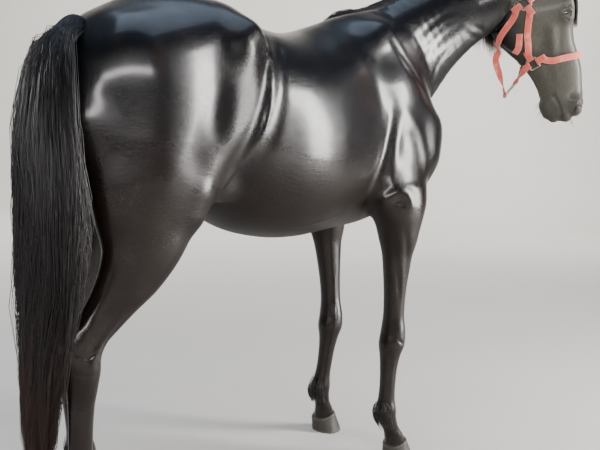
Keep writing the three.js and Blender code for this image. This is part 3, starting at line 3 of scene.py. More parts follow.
import bmesh
import bpy
import numpy as np
from mathutils import Matrix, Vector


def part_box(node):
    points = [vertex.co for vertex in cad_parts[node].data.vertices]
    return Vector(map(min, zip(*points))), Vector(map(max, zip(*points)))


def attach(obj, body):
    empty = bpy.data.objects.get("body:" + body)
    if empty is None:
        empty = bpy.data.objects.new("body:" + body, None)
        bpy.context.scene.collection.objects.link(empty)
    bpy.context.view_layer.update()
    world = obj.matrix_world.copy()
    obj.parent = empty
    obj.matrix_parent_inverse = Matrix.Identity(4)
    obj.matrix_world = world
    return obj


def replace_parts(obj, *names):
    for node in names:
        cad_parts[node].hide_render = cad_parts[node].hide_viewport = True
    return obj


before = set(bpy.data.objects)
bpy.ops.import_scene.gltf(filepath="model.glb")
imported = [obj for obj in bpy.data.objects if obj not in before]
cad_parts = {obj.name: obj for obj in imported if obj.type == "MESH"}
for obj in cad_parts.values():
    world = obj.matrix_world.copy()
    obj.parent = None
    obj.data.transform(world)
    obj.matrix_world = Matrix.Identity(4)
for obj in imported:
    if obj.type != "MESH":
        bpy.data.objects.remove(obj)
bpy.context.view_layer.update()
RNG = np.random.default_rng(7)
MM = 0.001

# Driving sizes of the body, the same as the solids'
WITHERS = 1602
BLEND = {"muscle": 70, "limb": 55, "neck": 90, "head": 45, "bone": 30}
# at, top, bottom, half width, widest line, power
TRUNK = [
    (-752, 1380, 1225, 60, 1300, 2.0),
    (-712, 1440, 1140, 118, 1300, 2.0),
    (-640, 1500, 1065, 172, 1290, 2.1),
    (-530, 1554, 1015, 218, 1275, 2.0),
    (-400, 1580, 975, 240, 1260, 2.0),
    (-280, 1562, 918, 250, 1230, 2.0),
    (-160, 1524, 862, 268, 1190, 2.05),
    (-30, 1503, 834, 284, 1165, 2.1),
    (90, 1513, 828, 282, 1160, 2.0),
    (200, 1546, 836, 262, 1170, 1.9),
    (310, 1584, 848, 236, 1180, 1.7),
    (420, WITHERS, 862, 216, 1180, 1.6),
    (530, 1580, 896, 196, 1180, 1.7),
    (620, 1505, 960, 170, 1170, 1.9),
    (670, 1400, 1030, 132, 1160, 2.0),
    (708, 1290, 1100, 74, 1160, 2.0),
]
SWAY = {"by": -46, "start": 320, "end": -420}
# height, front, back, half width, distance from the midplane
FORELEG = [
    (1000, 560, 392, 66, 192),
    (930, 560, 388, 75, 192),
    (850, 552, 408, 67, 188),
    (760, 542, 426, 54, 182),
    (650, 530, 440, 44, 176),
    (550, 526, 445, 41, 172),
    (485, 533, 440, 48, 170),
    (442, 532, 433, 49, 169),
    (402, 517, 438, 41, 168),
    (350, 510, 440, 33, 168),
    (285, 507, 442, 31, 168),
    (240, 508, 439, 33, 168),
    (200, 514, 431, 40, 168),
    (168, 520, 440, 36, 168),
    (130, 535, 468, 32, 168),
    (95, 558, 484, 39, 168),
    (30, 588, 490, 48, 168),
]
HINDLEG = [
    (1190, -420, -680, 34, 136),
    (1090, -408, -706, 64, 152),
    (980, -402, -708, 80, 164),
    (900, -422, -704, 78, 170),
    (820, -464, -706, 71, 173),
    (740, -526, -732, 58, 171),
    (680, -592, -764, 46, 166),
    (640, -634, -802, 42, 163),
    (605, -670, -834, 42, 161),
    (570, -688, -828, 46, 160),
    (530, -692, -804, 50, 159),
    (480, -700, -790, 45, 158),
    (430, -706, -785, 37, 157),
    (340, -709, -783, 33, 156),
    (250, -707, -784, 35, 156),
    (205, -696, -789, 42, 156),
    (168, -691, -776, 37, 156),
    (130, -673, -745, 33, 156),
    (95, -648, -728, 40, 156),
    (30, -618, -720, 48, 156),
]
# height, forward, left
STANCE = {
    "fore_right": [(930, 0, 0), (450, 6, -14), (200, 6, -14), (0, 20, -8)],
    "fore_left": [(930, 0, 0), (450, 22, -20), (200, 16, 2), (0, 8, 44)],
    "hind_right": [(1150, 0, 0), (600, 14, 42), (200, 18, 44), (0, 22, 44)],
    "hind_left": [(1150, 0, 0), (600, 110, 22), (200, 172, 18), (0, 206, 18)],
}
# one end, other end, radii, flatness, length of the blend
FORE_MASSES = [
    ((445, 84, 1475), (625, 138, 1200), (98, 112), 0.62, "muscle"),
    ((604, 120, 1180), (608, 126, 1120), (84, 80), 0.9, "muscle"),
    ((610, 140, 1110), (480, 186, 975), (88, 82), 0.8, "muscle"),
    ((470, 140, 1290), (450, 188, 1010), (122, 90), 0.62, "muscle"),
    ((398, 206, 962), (412, 202, 930), (40, 38), 0.9, "bone"),
    ((636, 62, 1112), (582, 90, 1010), (80, 74), 0.95, "muscle"),
    ((505, 188, 950), (492, 184, 850), (76, 60), 0.85, "muscle"),
]
HIND_MASSES = [
    ((-310, 108, 1425), (-580, 108, 1352), (112, 130), 0.95, "muscle"),
    ((-540, 146, 1270), (-540, 166, 1060), (182, 158), 0.55, "muscle"),
    ((-688, 74, 1325), (-690, 92, 1190), (76, 84), 0.9, "muscle"),
    ((-690, 96, 1190), (-650, 160, 950), (82, 62), 0.8, "muscle"),
    ((-318, 172, 1320), (-425, 196, 1030), (82, 68), 0.72, "muscle"),
    ((-438, 200, 1000), (-448, 200, 955), (52, 46), 0.9, "bone"),
    ((-262, 196, 1442), (-290, 200, 1420), (44, 48), 0.9, "muscle"),
    ((-400, 180, 1080), (-325, 186, 1010), (44, 22), 0.6, "muscle"),
]
# place, or place in the head, half depth, half width
NECK = [
    ((450, 0, 1330), None, 225, 150),
    ((600, -4, 1428), None, 222, 124),
    ((745, -38, 1558), None, 174, 98),
    ((882, -100, 1668), None, 142, 84),
    ((1004, -178, 1728), None, 118, 76),
    (None, (88, 0, -180), 106, 72),
    (None, (52, 0, -105), 84, 68),
]
POLL = np.array((1193.0, -334.0, 1857.0))
HEADING, PITCH, ROLL = math.radians(-42), math.radians(76), math.radians(-6.4)
HEAD_SIZE = 0.93
# along the face, front line, jaw line, half width, widest line, power
HEAD = [
    (-45, -42, -150, 50, -90, 2.0),
    (-15, -12, -215, 76, -85, 2.2),
    (50, 6, -285, 94, -80, 2.4),
    (115, 12, -328, 106, -74, 2.6),
    (190, 6, -342, 110, -66, 2.7),
    (250, -5, -326, 94, -70, 2.6),
    (310, -8, -284, 78, -82, 2.5),
    (370, 0, -238, 68, -92, 2.4),
    (430, 4, -206, 61, -96, 2.3),
    (500, -4, -188, 57, -92, 2.2),
    (560, -13, -184, 59, -88, 2.2),
    (604, -40, -170, 54, -98, 2.2),
    (634, -78, -144, 38, -110, 2.1),
]
HEAD_MASSES = [
    ((168, 58, -190), (225, 54, -225), (112, 90), 0.4, "head"),
    ((160, 84, -28), (214, 86, -34), (27, 23), 0.8, "bone"),
    ((250, 82, -108), (345, 58, -112), (16, 10), 0.8, "bone"),
    ((556, 42, -46), (592, 40, -54), (24, 20), 0.8, "bone"),
    ((552, 10, -170), (584, 12, -164), (26, 24), 1, "bone"),
]
EYE = {"along": 196, "side": 86, "up": -46, "radius": 21, "turn": 0.12}
# From here to here below the face's line the head and neck meet in a crease, this deep and this wide
JOWL = {"from": 130, "to": 230, "deep": 7, "wide": 16, "tighter": 0.75}
COAT_DEPTH = 4
UNDER = 2.15  # power of a section's lower half


# Small maths
def smoothstep(v, low, high):
    t = np.clip((v - low) / (high - low), 0, 1)
    return t * t * (3 - 2 * t)


def unit(v):
    return v / np.maximum(np.linalg.norm(v, axis=-1, keepdims=True), 1e-9)


def join(a, b, k):
    """Smooth union of two distances over the length k"""
    h = np.maximum(k - np.abs(a - b), 0) / k
    return np.minimum(a, b) - h * h * k * 0.25


def carve(a, b, k):
    """Takes the inside of b out of a, with an edge rounded over the length k"""
    return -join(-a, b, k)


class Rail:
    """A smooth curve through values at given places, flat beyond its ends"""

    def __init__(self, at, values):
        order = np.argsort(at)
        self.x = np.asarray(at, float)[order]
        self.y = np.asarray(values, float)[order]
        i = np.arange(len(at))
        a, b = np.maximum(i - 1, 0), np.minimum(i + 1, len(at) - 1)
        self.slope = (self.y[b] - self.y[a]) / (self.x[b] - self.x[a])

    def __call__(self, at):
        x, y, m = self.x, self.y, self.slope
        p = np.clip(at, x[0], x[-1])
        i = np.clip(np.searchsorted(x, p, side="right") - 1, 0, len(x) - 2)
        d = x[i + 1] - x[i]
        t = (p - x[i]) / d
        t2, t3 = t * t, t * t * t
        start = (2 * t3 - 3 * t2 + 1) * y[i] + (t3 - 2 * t2 + t) * d * m[i]
        return start + (3 * t2 - 2 * t3) * y[i + 1] + (t3 - t2) * d * m[i + 1]


class Curve:
    """A smooth line through points, read by station or by its share of the length"""

    def __init__(self, points):
        p = np.asarray(points, float)
        self.p = np.vstack([2 * p[0] - p[1], p, 2 * p[-1] - p[-2]])
        self.spans = len(p) - 1
        self.dense = self.station(np.linspace(0, 1, 600))
        run = np.r_[0, np.cumsum(np.linalg.norm(np.diff(self.dense, axis=0), axis=1))]
        self.share = run / run[-1]

    def station(self, t):
        t = np.atleast_1d(np.asarray(t, float)) * self.spans
        i = np.clip(t.astype(int), 0, self.spans - 1)
        w = (t - i)[:, None]
        a, b, c, d = (self.p[i + k] for k in range(4))
        steps = (b - a, c - b, d - c)
        gap = [np.maximum(np.linalg.norm(step, axis=1, keepdims=True) ** 0.5, 1e-4) for step in steps]
        t1 = ((b - a) / gap[0] - (c - a) / (gap[0] + gap[1]) + (c - b) / gap[1]) * gap[1]
        t2 = ((c - b) / gap[1] - (d - b) / (gap[1] + gap[2]) + (d - c) / gap[2]) * gap[1]
        return b + t1 * w + (-3 * b + 3 * c - 2 * t1 - t2) * w**2 + (2 * b - 2 * c + t1 + t2) * w**3

    def at(self, s):
        """Points at shares of the length"""
        s = np.atleast_1d(s)
        return np.stack([np.interp(s, self.share, self.dense[:, k]) for k in range(3)], 1)

    def way(self, s, step=0.004):
        s = np.atleast_1d(s)
        return unit(self.at(np.clip(s + step, 0, 1)) - self.at(np.clip(s - step, 0, 1)))


# The body as distances, in millimetres
def loft(stations, end_round):
    at, top, bottom, wide, waist, power = (np.array(c, float) for c in zip(*stations))
    tops, bottoms, wides, waists, powers = (Rail(at, v) for v in (top, bottom, wide, waist, power))

    def distance(along, side, up):
        middle = waists(along)
        z = up - middle
        reach_up, reach_down = tops(along) - middle, middle - bottoms(along)
        v = np.abs(z) / np.where(z > 0, reach_up, reach_down)
        u = np.abs(side) / wides(along)
        n = np.where(z > 0, powers(along), UNDER)
        r = np.maximum((u**n + v**n) ** (1 / n), 1e-4)
        reach = np.hypot(side, z)
        d = reach - reach / r
        end = np.maximum(at.min() - along, along - at.max())
        return -join(-d, -end, end_round)

    return distance


def mass(start, end, radii, flat):
    """Distance to a tapered capsule, flatter across than it is deep"""
    start, end = np.array(start, float), np.array(end, float)
    axis = end - start

    def distance(x, y, z):
        q = np.stack([x, y, z], -1) - start
        t = np.clip(q @ axis / (axis @ axis), 0, 1)
        q = q - t[..., None] * axis
        reach = np.sqrt(q[..., 0] ** 2 + (q[..., 1] / flat) ** 2 + q[..., 2] ** 2)
        return reach - (radii[0] + (radii[1] - radii[0]) * t)

    return distance


def turned(v, axis, angle):
    c, s = math.cos(angle), math.sin(angle)
    return v * c + np.cross(axis, v) * s + axis * (axis @ v) * (1 - c)


def heading_way(heading, pitch=0.0):
    """The way of something that heads so far from +X towards +Y and looks up by its pitch"""
    level = math.cos(pitch)
    return np.array((math.cos(heading) * level, math.sin(heading) * level, math.sin(pitch)))


def head_axes():
    along = heading_way(HEADING, -PITCH)
    left = turned(heading_way(HEADING + math.pi / 2), along, -ROLL)
    return np.stack([along, left, np.cross(along, left)])


HEAD_AXES = head_axes()


def in_head(*place):
    return POLL + HEAD_SIZE * np.array(place, float) @ HEAD_AXES


def way_in_head(*way):
    return unit(np.array(way, float) @ HEAD_AXES)


def to_head(p):
    return (p - POLL) @ HEAD_AXES.T / HEAD_SIZE


head_loft = loft(HEAD, 40)
head_masses = [(mass(a, b, r, flat), BLEND[k]) for a, b, r, flat, k in HEAD_MASSES]


def head_field(h):
    along, side, up = h.T
    d = head_loft(along, side, up)
    for field, k in head_masses:
        d = join(d, field(along, np.abs(side), up), k)
    return d * HEAD_SIZE


neck_line = Curve([p if p is not None else in_head(*h) for p, h, _, _ in NECK])
neck_share = np.linspace(0, 1, len(NECK))
neck_deep = Rail(neck_share, [n[2] for n in NECK])
neck_wide = Rail(neck_share, [n[3] for n in NECK])
NECK_STEPS = 26
NECK_POWER = 1.9


def neck_field(p):
    t = np.linspace(0, 1, NECK_STEPS + 1)
    centre = neck_line.station(t)
    ahead = unit(neck_line.station(np.minimum(t + 1e-3, 1)) - neck_line.station(np.maximum(t - 1e-3, 0)))
    left = unit(np.cross((0, 0, 1), ahead))
    deep, wide = neck_deep(t), neck_wide(t)
    best = np.full(len(p), 1e9)
    for i in range(NECK_STEPS):
        axis = centre[i + 1] - centre[i]
        q = p - centre[i]
        s = np.clip(q @ axis / (axis @ axis), 0, 1)
        q = q - s[:, None] * axis
        d = deep[i] + (deep[i + 1] - deep[i]) * s
        w = wide[i] + (wide[i + 1] - wide[i]) * s
        across = q @ left[i]
        reach = np.linalg.norm(q, axis=1)
        down = np.sqrt(np.maximum(reach**2 - across**2, 0))
        r = ((np.abs(across) / w) ** NECK_POWER + (down / d) ** NECK_POWER) ** (1 / NECK_POWER)
        r = np.maximum(r, 1e-4)
        best = np.minimum(best, reach - reach / r)
    return best


def sway_at(x):
    return SWAY["by"] * smoothstep(SWAY["start"] - x, 0, SWAY["start"] - SWAY["end"])


class Quarter:
    """One leg with the muscles that carry it, moved by its stance"""

    def __init__(self, name, stations, masses):
        heights, forward, left = (np.array(c, float) for c in zip(*STANCE[name]))
        self.forward, self.left = Rail(heights, forward), Rail(heights, left)
        self.hand = 1 if name.endswith("left") else -1
        z, front, back, wide, side = (np.array(c, float) for c in zip(*stations))
        self.front, self.back, self.wide, self.side = (Rail(z, v) for v in (front, back, wide, side))
        upright = [(a, f, b, w, (f * 3 + b * 2) / 5, 2.1) for a, f, b, w, _ in stations]
        self.loft = loft(upright, 20)
        self.masses = [(mass(a, b, r, flat), BLEND[k]) for a, b, r, flat, k in masses]

    def place(self, along, side, z):
        x = along + self.forward(z)
        return np.stack([x, side * self.hand + self.left(z) + sway_at(x), z + 0 * x], -1)

    def own(self, p):
        x, y, z = p.T
        return x - self.forward(z), (y - self.left(z) - sway_at(x)) * self.hand, z

    def field(self, d, p):
        x, y, z = self.own(p)
        for field, k in self.masses:
            d = join(d, field(x, y, z), k)
        return join(d, self.loft(z, y - self.side(z), x), BLEND["limb"])


quarters = {
    name: Quarter(name, FORELEG if name.startswith("fore") else HINDLEG,
                  FORE_MASSES if name.startswith("fore") else HIND_MASSES)
    for name in STANCE
}
trunk_loft = loft(TRUNK, 70)


def flesh(p):
    """The whole animal's flesh as one distance"""
    d = trunk_loft(p[:, 0], p[:, 1] - sway_at(p[:, 0]), p[:, 2])
    ahead = p[:, 0] > 100
    for here, names in ((ahead, ("fore_right", "fore_left")), (~ahead, ("hind_right", "hind_left"))):
        q, e = p[here], d[here]
        for name in names:
            e = quarters[name].field(e, q)
        d[here] = e
    near = ahead & (p[:, 2] > 1000)
    q = p[near]
    neck, h = join(d[near], neck_field(q), BLEND["neck"]), to_head(q)
    head = head_field(h)
    below = smoothstep(-h[:, 2], JOWL["from"], JOWL["to"])
    e = join(neck, head, BLEND["head"] * (1 - JOWL["tighter"] * below))
    d[near] = e + JOWL["deep"] * below * np.exp(-(((neck - head) / JOWL["wide"]) ** 2))
    return d


def slope(field, p, step=2.0):
    g = np.empty_like(p)
    for k in range(3):
        off = np.zeros(3)
        off[k] = step
        g[:, k] = (field(p + off) - field(p - off)) / (2 * step)
    return g


def settle(field, p, lift=0.0, rounds=3, most=30.0):
    """Moves points onto the surface that lies a distance off the field"""
    p = np.array(p, float)
    for _ in range(rounds):
        g = slope(field, p)
        move = -g * ((field(p) - lift) / np.maximum((g * g).sum(1), 0.05))[:, None]
        size = np.linalg.norm(move, axis=1, keepdims=True)
        p += move * np.minimum(1, most / np.maximum(size, 1e-9))
    return p


# Where the frame holds the animal: its eyes tell how far it was moved from its own origin
def frame_shift():
    boxes = [np.array(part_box(name)) for name in ("eye_left", "eye_right")]
    middle = np.mean([box.mean(0) for box in boxes], 0)
    shift = middle - in_head(EYE["along"], 0, EYE["up"]) * MM
    shift[2] = 0
    return shift


SHIFT = frame_shift()


def to_frame(p):
    return p * MM + SHIFT


# The skin: a net of quads on the body's field, finer on the head and legs
SKIN_CELL = 9.0
NET_LOW = np.array((-880.0, -760.0, 60.0))
NET_HIGH = np.array((1400.0, 330.0, 1990.0))


def coarse_field(field, axes, every=4):
    """The field on a grid of every few nodes, filled in between"""
    some = [np.r_[a[::every], a[-1]] if (len(a) - 1) % every else a[::every] for a in axes]
    grid = np.stack(np.meshgrid(*some, indexing="ij"), -1).reshape(-1, 3)
    value = field(grid).reshape([len(s) for s in some]).astype(np.float32)
    for k in range(3):
        i = np.clip(np.searchsorted(some[k], axes[k], side="right") - 1, 0, len(some[k]) - 2)
        t = ((axes[k] - some[k][i]) / (some[k][i + 1] - some[k][i])).astype(np.float32)
        t = t.reshape([-1 if m == k else 1 for m in range(3)])
        value = np.take(value, i, axis=k) * (1 - t) + np.take(value, i + 1, axis=k) * t
    return value


def net(field, low, high, cell, band=5.0):
    """Vertices and quads where the field is zero, between a box's corners"""
    axes = [np.arange(low[k], high[k] + cell, cell) for k in range(3)]
    value = coarse_field(field, axes)
    near = np.argwhere(np.abs(value) < band * cell)
    value[tuple(near.T)] = field(np.stack([axes[k][near[:, k]] for k in range(3)], 1))
    inside = value < 0
    n = [size - 1 for size in inside.shape]
    count = sum(inside[i:i + n[0], j:j + n[1], k:k + n[2]].astype(np.int8)
                for i in (0, 1) for j in (0, 1) for k in (0, 1))
    cells = np.argwhere((count > 0) & (count < 8))
    number = np.full(count.shape, -1, np.int32)
    number[tuple(cells.T)] = np.arange(len(cells))
    corners = np.array([(i, j, k) for i in (0, 1) for j in (0, 1) for k in (0, 1)])
    v = np.stack([value[tuple((cells + c).T)] for c in corners], 1)
    total, crossings = np.zeros((len(cells), 3)), np.zeros(len(cells))
    for a in range(8):
        for b in range(a + 1, 8):
            if np.abs(corners[a] - corners[b]).sum() != 1:
                continue
            cross = (v[:, a] < 0) != (v[:, b] < 0)
            t = v[:, a] / np.where(cross, v[:, a] - v[:, b], 1)
            total += np.where(cross, 1, 0)[:, None] * (corners[a] + t[:, None] * (corners[b] - corners[a]))
            crossings += cross
    points = np.asarray(low) + (cells + total / crossings[:, None]) * cell
    quads = []
    for m in range(3):
        b, c = np.eye(3, dtype=int)[(m + 1) % 3], np.eye(3, dtype=int)[(m + 2) % 3]
        onward = np.roll(inside, -1, axis=m)
        change = np.argwhere((inside != onward)[tuple(slice(1, n - 1) for n in inside.shape)]) + 1
        ring = np.stack([number[tuple((change - s).T)] for s in (b + c, c, 0 * b, b)], 1)
        flip = ~inside[tuple(change.T)]
        ring[flip] = ring[flip, ::-1]
        quads.append(ring)
    quads = np.concatenate(quads)
    return points, quads[(quads >= 0).all(1)]


def tube_faces(rings, sides, closed=False):
    """Faces between rings of points that follow one another, and from the last to the first if closed"""
    faces = []
    for i in range(rings if closed else rings - 1):
        a, b = i * sides, (i + 1) % rings * sides
        faces += [(a + j, a + (j + 1) % sides, b + (j + 1) % sides, b + j) for j in range(sides)]
    return faces


def mesh_piece(name, points, faces):
    """A new object from points in the animal's millimetres and a list or array of faces"""
    data = bpy.data.meshes.new(name)
    if isinstance(faces, np.ndarray):
        count, sides = faces.shape
        data.vertices.add(len(points))
        data.vertices.foreach_set("co", to_frame(points).astype(np.float32).ravel())
        data.loops.add(count * sides)
        data.loops.foreach_set("vertex_index", faces.astype(np.int32).ravel())
        data.polygons.add(count)
        data.polygons.foreach_set("loop_start", np.arange(0, count * sides, sides, dtype=np.int32))
        data.update(calc_edges=True)
    else:
        data.from_pydata(to_frame(points).tolist(), [], faces)
    data.validate()
    data.polygons.foreach_set("use_smooth", np.full(len(data.polygons), True))
    piece = bpy.data.objects.new(name, data)
    bpy.context.scene.collection.objects.link(piece)
    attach(piece, "root")
    return piece


def points_of(piece):
    co = np.empty(len(piece.data.vertices) * 3, np.float32)
    piece.data.vertices.foreach_get("co", co)
    return (co.reshape(-1, 3) - SHIFT) / MM


def set_points(piece, p):
    piece.data.vertices.foreach_set("co", to_frame(p).astype(np.float32).ravel())
    piece.data.update()


def mark(piece, name, values):
    """A number at each vertex, for the finish to read"""
    data = piece.data.attributes.new(name, "FLOAT", "POINT")
    data.data.foreach_set("value", np.asarray(values, np.float32))


def refine(piece, chosen):
    """Splits the faces whose corners are all chosen into four"""
    keep = chosen(points_of(piece))
    made = bmesh.new()
    made.from_mesh(piece.data)
    made.verts.ensure_lookup_table()
    edges = [e for e in made.edges if keep[e.verts[0].index] and keep[e.verts[1].index]]
    bmesh.ops.subdivide_edges(made, edges=edges, cuts=1, use_grid_fill=True)
    made.to_mesh(piece.data)
    made.free()
    piece.data.polygons.foreach_set("use_smooth", np.full(len(piece.data.polygons), True))


# Folds, veins and the openings of the head, carved into the flesh
def eye_place(hand):
    """Centre of an eye and its own axes: along the face, up across the lid, outwards"""
    centre = in_head(EYE["along"], EYE["side"] * hand, EYE["up"])
    out = way_in_head(EYE["turn"], hand, 0.12)
    along = way_in_head(1, 0, 0)
    along = unit(along - out * (along @ out))
    up = np.cross(out, along)
    if up @ way_in_head(0, 0, 1) < 0:
        up = -up
    return centre, np.stack([along, up, out])


LID = {"long": 23, "high": 15, "low": 11, "thick": 5.5}


def lid_opening(u, v):
    """Distance inside the almond between the lids, from places along and across it"""
    t = np.clip(u / LID["long"], -1, 1)
    top = LID["high"] * (1 - np.abs(t) ** 2.2) * (1 - 0.25 * t) + 2 * t
    low = -LID["low"] * (1 - np.abs(t) ** 1.8) * (1 - 0.1 * t) + 2 * t
    middle, half = (top + low) / 2, (top - low) / 2
    past = np.abs(u) - LID["long"]
    return np.where(past < 0, np.abs(v - middle) - half, np.hypot(past, v - 2 * t))


def along_mouth(h):
    """How far along the mouth's line from its corner a place in the head is, and how far above the line"""
    corner, front = np.array((508.0, -136.0)), np.array((646.0, -124.0))
    way = unit(front - corner)
    run = (h[:, 0] - corner[0]) * way[0] + (h[:, 2] - corner[1]) * way[1]
    off = (h[:, 2] - corner[1]) * way[0] - (h[:, 0] - corner[0]) * way[1]
    return run, off - 9 * np.sin(run / 44) * smoothstep(run, 0, 40)


def head_detail(d, h, p):
    """The lids, nostrils, lips and bony lines of the head"""
    side = np.abs(h[:, 1])

    def at(*sizes):
        return mass(*sizes)(h[:, 0], side, h[:, 2]) * HEAD_SIZE

    # the hollow over the eye, the groove under the crest and the two bars of the jaw
    d = carve(d, at((146, 66, 10), (126, 70, 2), (17, 20), 0.9) + 7, 26)
    d = carve(d, at((318, 84, -152), (450, 66, -142), (13, 9), 0.8) + 2, 24)
    d = join(d, at((350, 22, -238), (505, 16, -178), (11, 9), 0.8), 14)
    # lips: the upper one fuller, the lower one short, with a soft chin
    d = join(d, at((626, 22, -92), (600, 38, -100), (15, 13), 1.0), 16)
    d = join(d, at((616, 16, -148), (588, 28, -150), (14, 12), 1.0), 14)
    run, off = along_mouth(h)
    slit = np.maximum(np.abs(off) - 2.0, -run) * HEAD_SIZE
    d = carve(d, np.maximum(slit, -d - 11), 6)
    # nostrils: a comma, wide at its lower end and running up into a fold
    low_end, high_end, size, deep = np.array((594.0, 40, -54)), np.array((565.0, 46, -39)), (12.5, 6.5), 24
    d = join(d, at(low_end, high_end, (size[0] + 10, size[1] + 9), 1.0), 14)
    hole = at(low_end + (0, 10, 4), high_end + (0, 10, 4), size, 2.6)
    d = carve(d, np.maximum(hole, -d - deep), 6)
    for hand in (1, -1):
        centre, axes = eye_place(hand)
        q = (p - centre) @ axes.T
        reach = np.linalg.norm(q * (0.86, 1.0, 1.0), axis=1)
        near = np.exp(-(q[:, 0] ** 2 + q[:, 1] ** 2) / 60**2)
        d = join(d, reach - EYE["radius"] - LID["thick"], 12)
        brow = np.hypot(q[:, 1] - 25 + 0.004 * q[:, 0] ** 2, q[:, 2] - 12) - 5
        d = join(d, np.maximum(brow, np.abs(q[:, 0]) - 26), 14) * near + d * (1 - near)
        opening = np.maximum(lid_opening(q[:, 0], q[:, 1]), -q[:, 2])
        d = carve(d, opening, 3.5)
        crease = np.hypot(q[:, 1] - LID["high"] - 6 + 0.012 * q[:, 0] ** 2, q[:, 2] - 17) - 2.0
        d = carve(d, np.maximum(crease, np.abs(q[:, 0]) - 22), 6)
    return d


def flesh_with_head(p):
    d = flesh(p)
    h = to_head(p)
    near = (h[:, 0] > -60) & (h[:, 2] > -400) & (np.abs(h[:, 1]) < 190) & (h[:, 2] < 90)
    d[near] = head_detail(d[near], h[near], p[near])
    return d


def line_depth(p, points, wide, deep):
    """A soft groove, or a ridge where deep is negative, along a line of points"""
    line = Curve(points).at(np.linspace(0, 1, 60))
    low, high = line.min(0) - 4 * wide, line.max(0) + 4 * wide
    near = np.all((p > low) & (p < high), axis=1)
    out = np.zeros(len(p))
    q = p[near]
    best, at = np.full(len(q), 1e9), np.zeros(len(q))
    for i, a in enumerate(line):
        far = ((q - a) ** 2).sum(1)
        at = np.where(far < best, i / (len(line) - 1), at)
        best = np.minimum(best, far)
    out[near] = deep * np.sin(math.pi * np.clip(at, 0.02, 0.98)) ** 0.5 * np.exp(-best / wide**2)
    return out


# Lines of the hide as (width, depth, points), ridges with a negative depth. On the trunk they are the fold of
# the flank and the hollows beside it, the creases before and behind the shoulder, its muscle, the elbow and
# the vein of the belly
TRUNK_LINES = [
    (9, -6, [(-139, 142, 1467), (-179, 207, 1397), (-217, 250, 1252),
             (-240, 249, 1183), (-300, 224, 1088), (-352, 215, 1020)]),
    (20, 4, [(-178, 142, 1467), (-214, 207, 1397), (-250, 250, 1252),
             (-280, 250, 1178), (-340, 226, 1092), (-388, 219, 1034)]),
    (17, 3.5, [(-108, 150, 1460), (-146, 215, 1385), (-180, 262, 1252),
               (-205, 262, 1168), (-262, 236, 1068)]),
    (34, 7, [(-386, 250, 1320), (-400, 250, 1234), (-402, 250, 1190), (-396, 249, 1130)]),
    (20, 6, [(433, 128, 1552), (474, 157, 1483), (541, 188, 1395), (586, 190, 1349), (632, 185, 1300)]),
    (24, 8, [(399, 219, 1285), (385, 226, 1231), (370, 230, 1177),
             (355, 230, 1119), (322, 213, 1021), (297, 201, 986)]),
    (26, -5, [(421, 222, 1279), (470, 227, 1254), (525, 225, 1208), (555, 228, 1138), (574, 232, 1061)]),
    (34, 5, [(440, 228, 1190), (452, 230, 1140), (462, 232, 1075)]),
    (24, -4, [(432, 222, 1262), (410, 228, 1200), (398, 230, 1120), (384, 228, 1030), (372, 222, 970)]),
    (13, -7, [(362, 227, 946), (374, 241, 981), (407, 256, 996), (439, 270, 979), (456, 274, 940)]),
    (10, 5, [(392, 244, 948), (410, 256, 962), (430, 266, 955)]),
    (5, -2.5, [(300, 150, 960), (193, 170, 918), (100, 178, 898),
               (19, 168, 882), (-60, 160, 884), (-131, 152, 894)]),
]
# On the bent side of the neck and at the throat
NECK_LINES = [
    (11, 4, [(809, -159, 1662), (756, -137, 1636), (679, -119, 1585), (585, -129, 1512)]),
    (12, 4, [(829, -166, 1613), (766, -144, 1571), (695, -131, 1507), (629, -144, 1437)]),
    (11, 3.5, [(826, -154, 1555), (771, -136, 1499), (729, -127, 1445), (719, -116, 1379)]),
    (9, 3, [(820, -166, 1640), (762, -142, 1604), (690, -126, 1548), (610, -136, 1478)]),
    (10, 6, [(839, -168, 1607), (877, -177, 1599), (924, -180, 1586)]),
    (10, 5, [(823, -159, 1576), (872, -165, 1566), (949, -150, 1556)]),
]
# On each leg, in its own place before the stance moves it: forward, to the side and up
HIND_LINES = [
    (6, 4, [(-820, 178, 617), (-796, 196, 598), (-753, 205, 578), (-716, 200, 588)]),
    (6, 4, [(-824, 176, 574), (-797, 190, 546), (-759, 206, 526), (-724, 206, 530)]),
    (5, 2.0, [(-792, 160, 484), (-773, 190, 470), (-737, 202, 472)]),
    (9, -6, [(-640, 208, 700), (-690, 205, 640), (-735, 198, 560), (-748, 192, 470)]),
    (11, 6, [(-700, 190, 760), (-742, 182, 700), (-782, 176, 650)]),
    (4, -2, [(-650, 120, 700), (-690, 118, 640), (-725, 118, 560), (-735, 122, 450)]),
]
FORE_LINES = [
    (11, 6, [(402, 226, 860), (432, 222, 780), (462, 212, 690), (476, 208, 600)]),
    (11, 6, [(446, 250, 872), (478, 236, 780), (496, 222, 690), (504, 214, 600)]),
    (5, 2.5, [(470, 206, 470), (490, 214, 452), (515, 210, 446)]),
    (6, -2.5, [(470, 200, 400), (468, 196, 330), (468, 198, 260)]),
    (4, -2, [(480, 140, 640), (476, 134, 560), (470, 130, 480), (466, 136, 380)]),
]


def hide_lines(p):
    """The depth of all these lines at each place"""
    def depth(places, lines):
        return sum(line_depth(places, points, wide, deep) for wide, deep, points in lines)

    sway = sway_at(p[:, 0])
    trunk = np.stack([p[:, 0], np.abs(p[:, 1] - sway), p[:, 2]], 1)
    d = depth(trunk, TRUNK_LINES) + depth(p, NECK_LINES)
    for name, quarter in quarters.items():
        mine = (p[:, 2] < 900) & ((p[:, 1] - sway) * quarter.hand > -60)
        x, y, z = quarter.own(p[mine])
        d[mine] += depth(np.stack([x, y, z], 1), FORE_LINES if name.startswith("fore") else HIND_LINES)
    return d


FLANK = {"at": -300, "high": 1290, "lean": 0.9, "long": 95, "tall": 190}


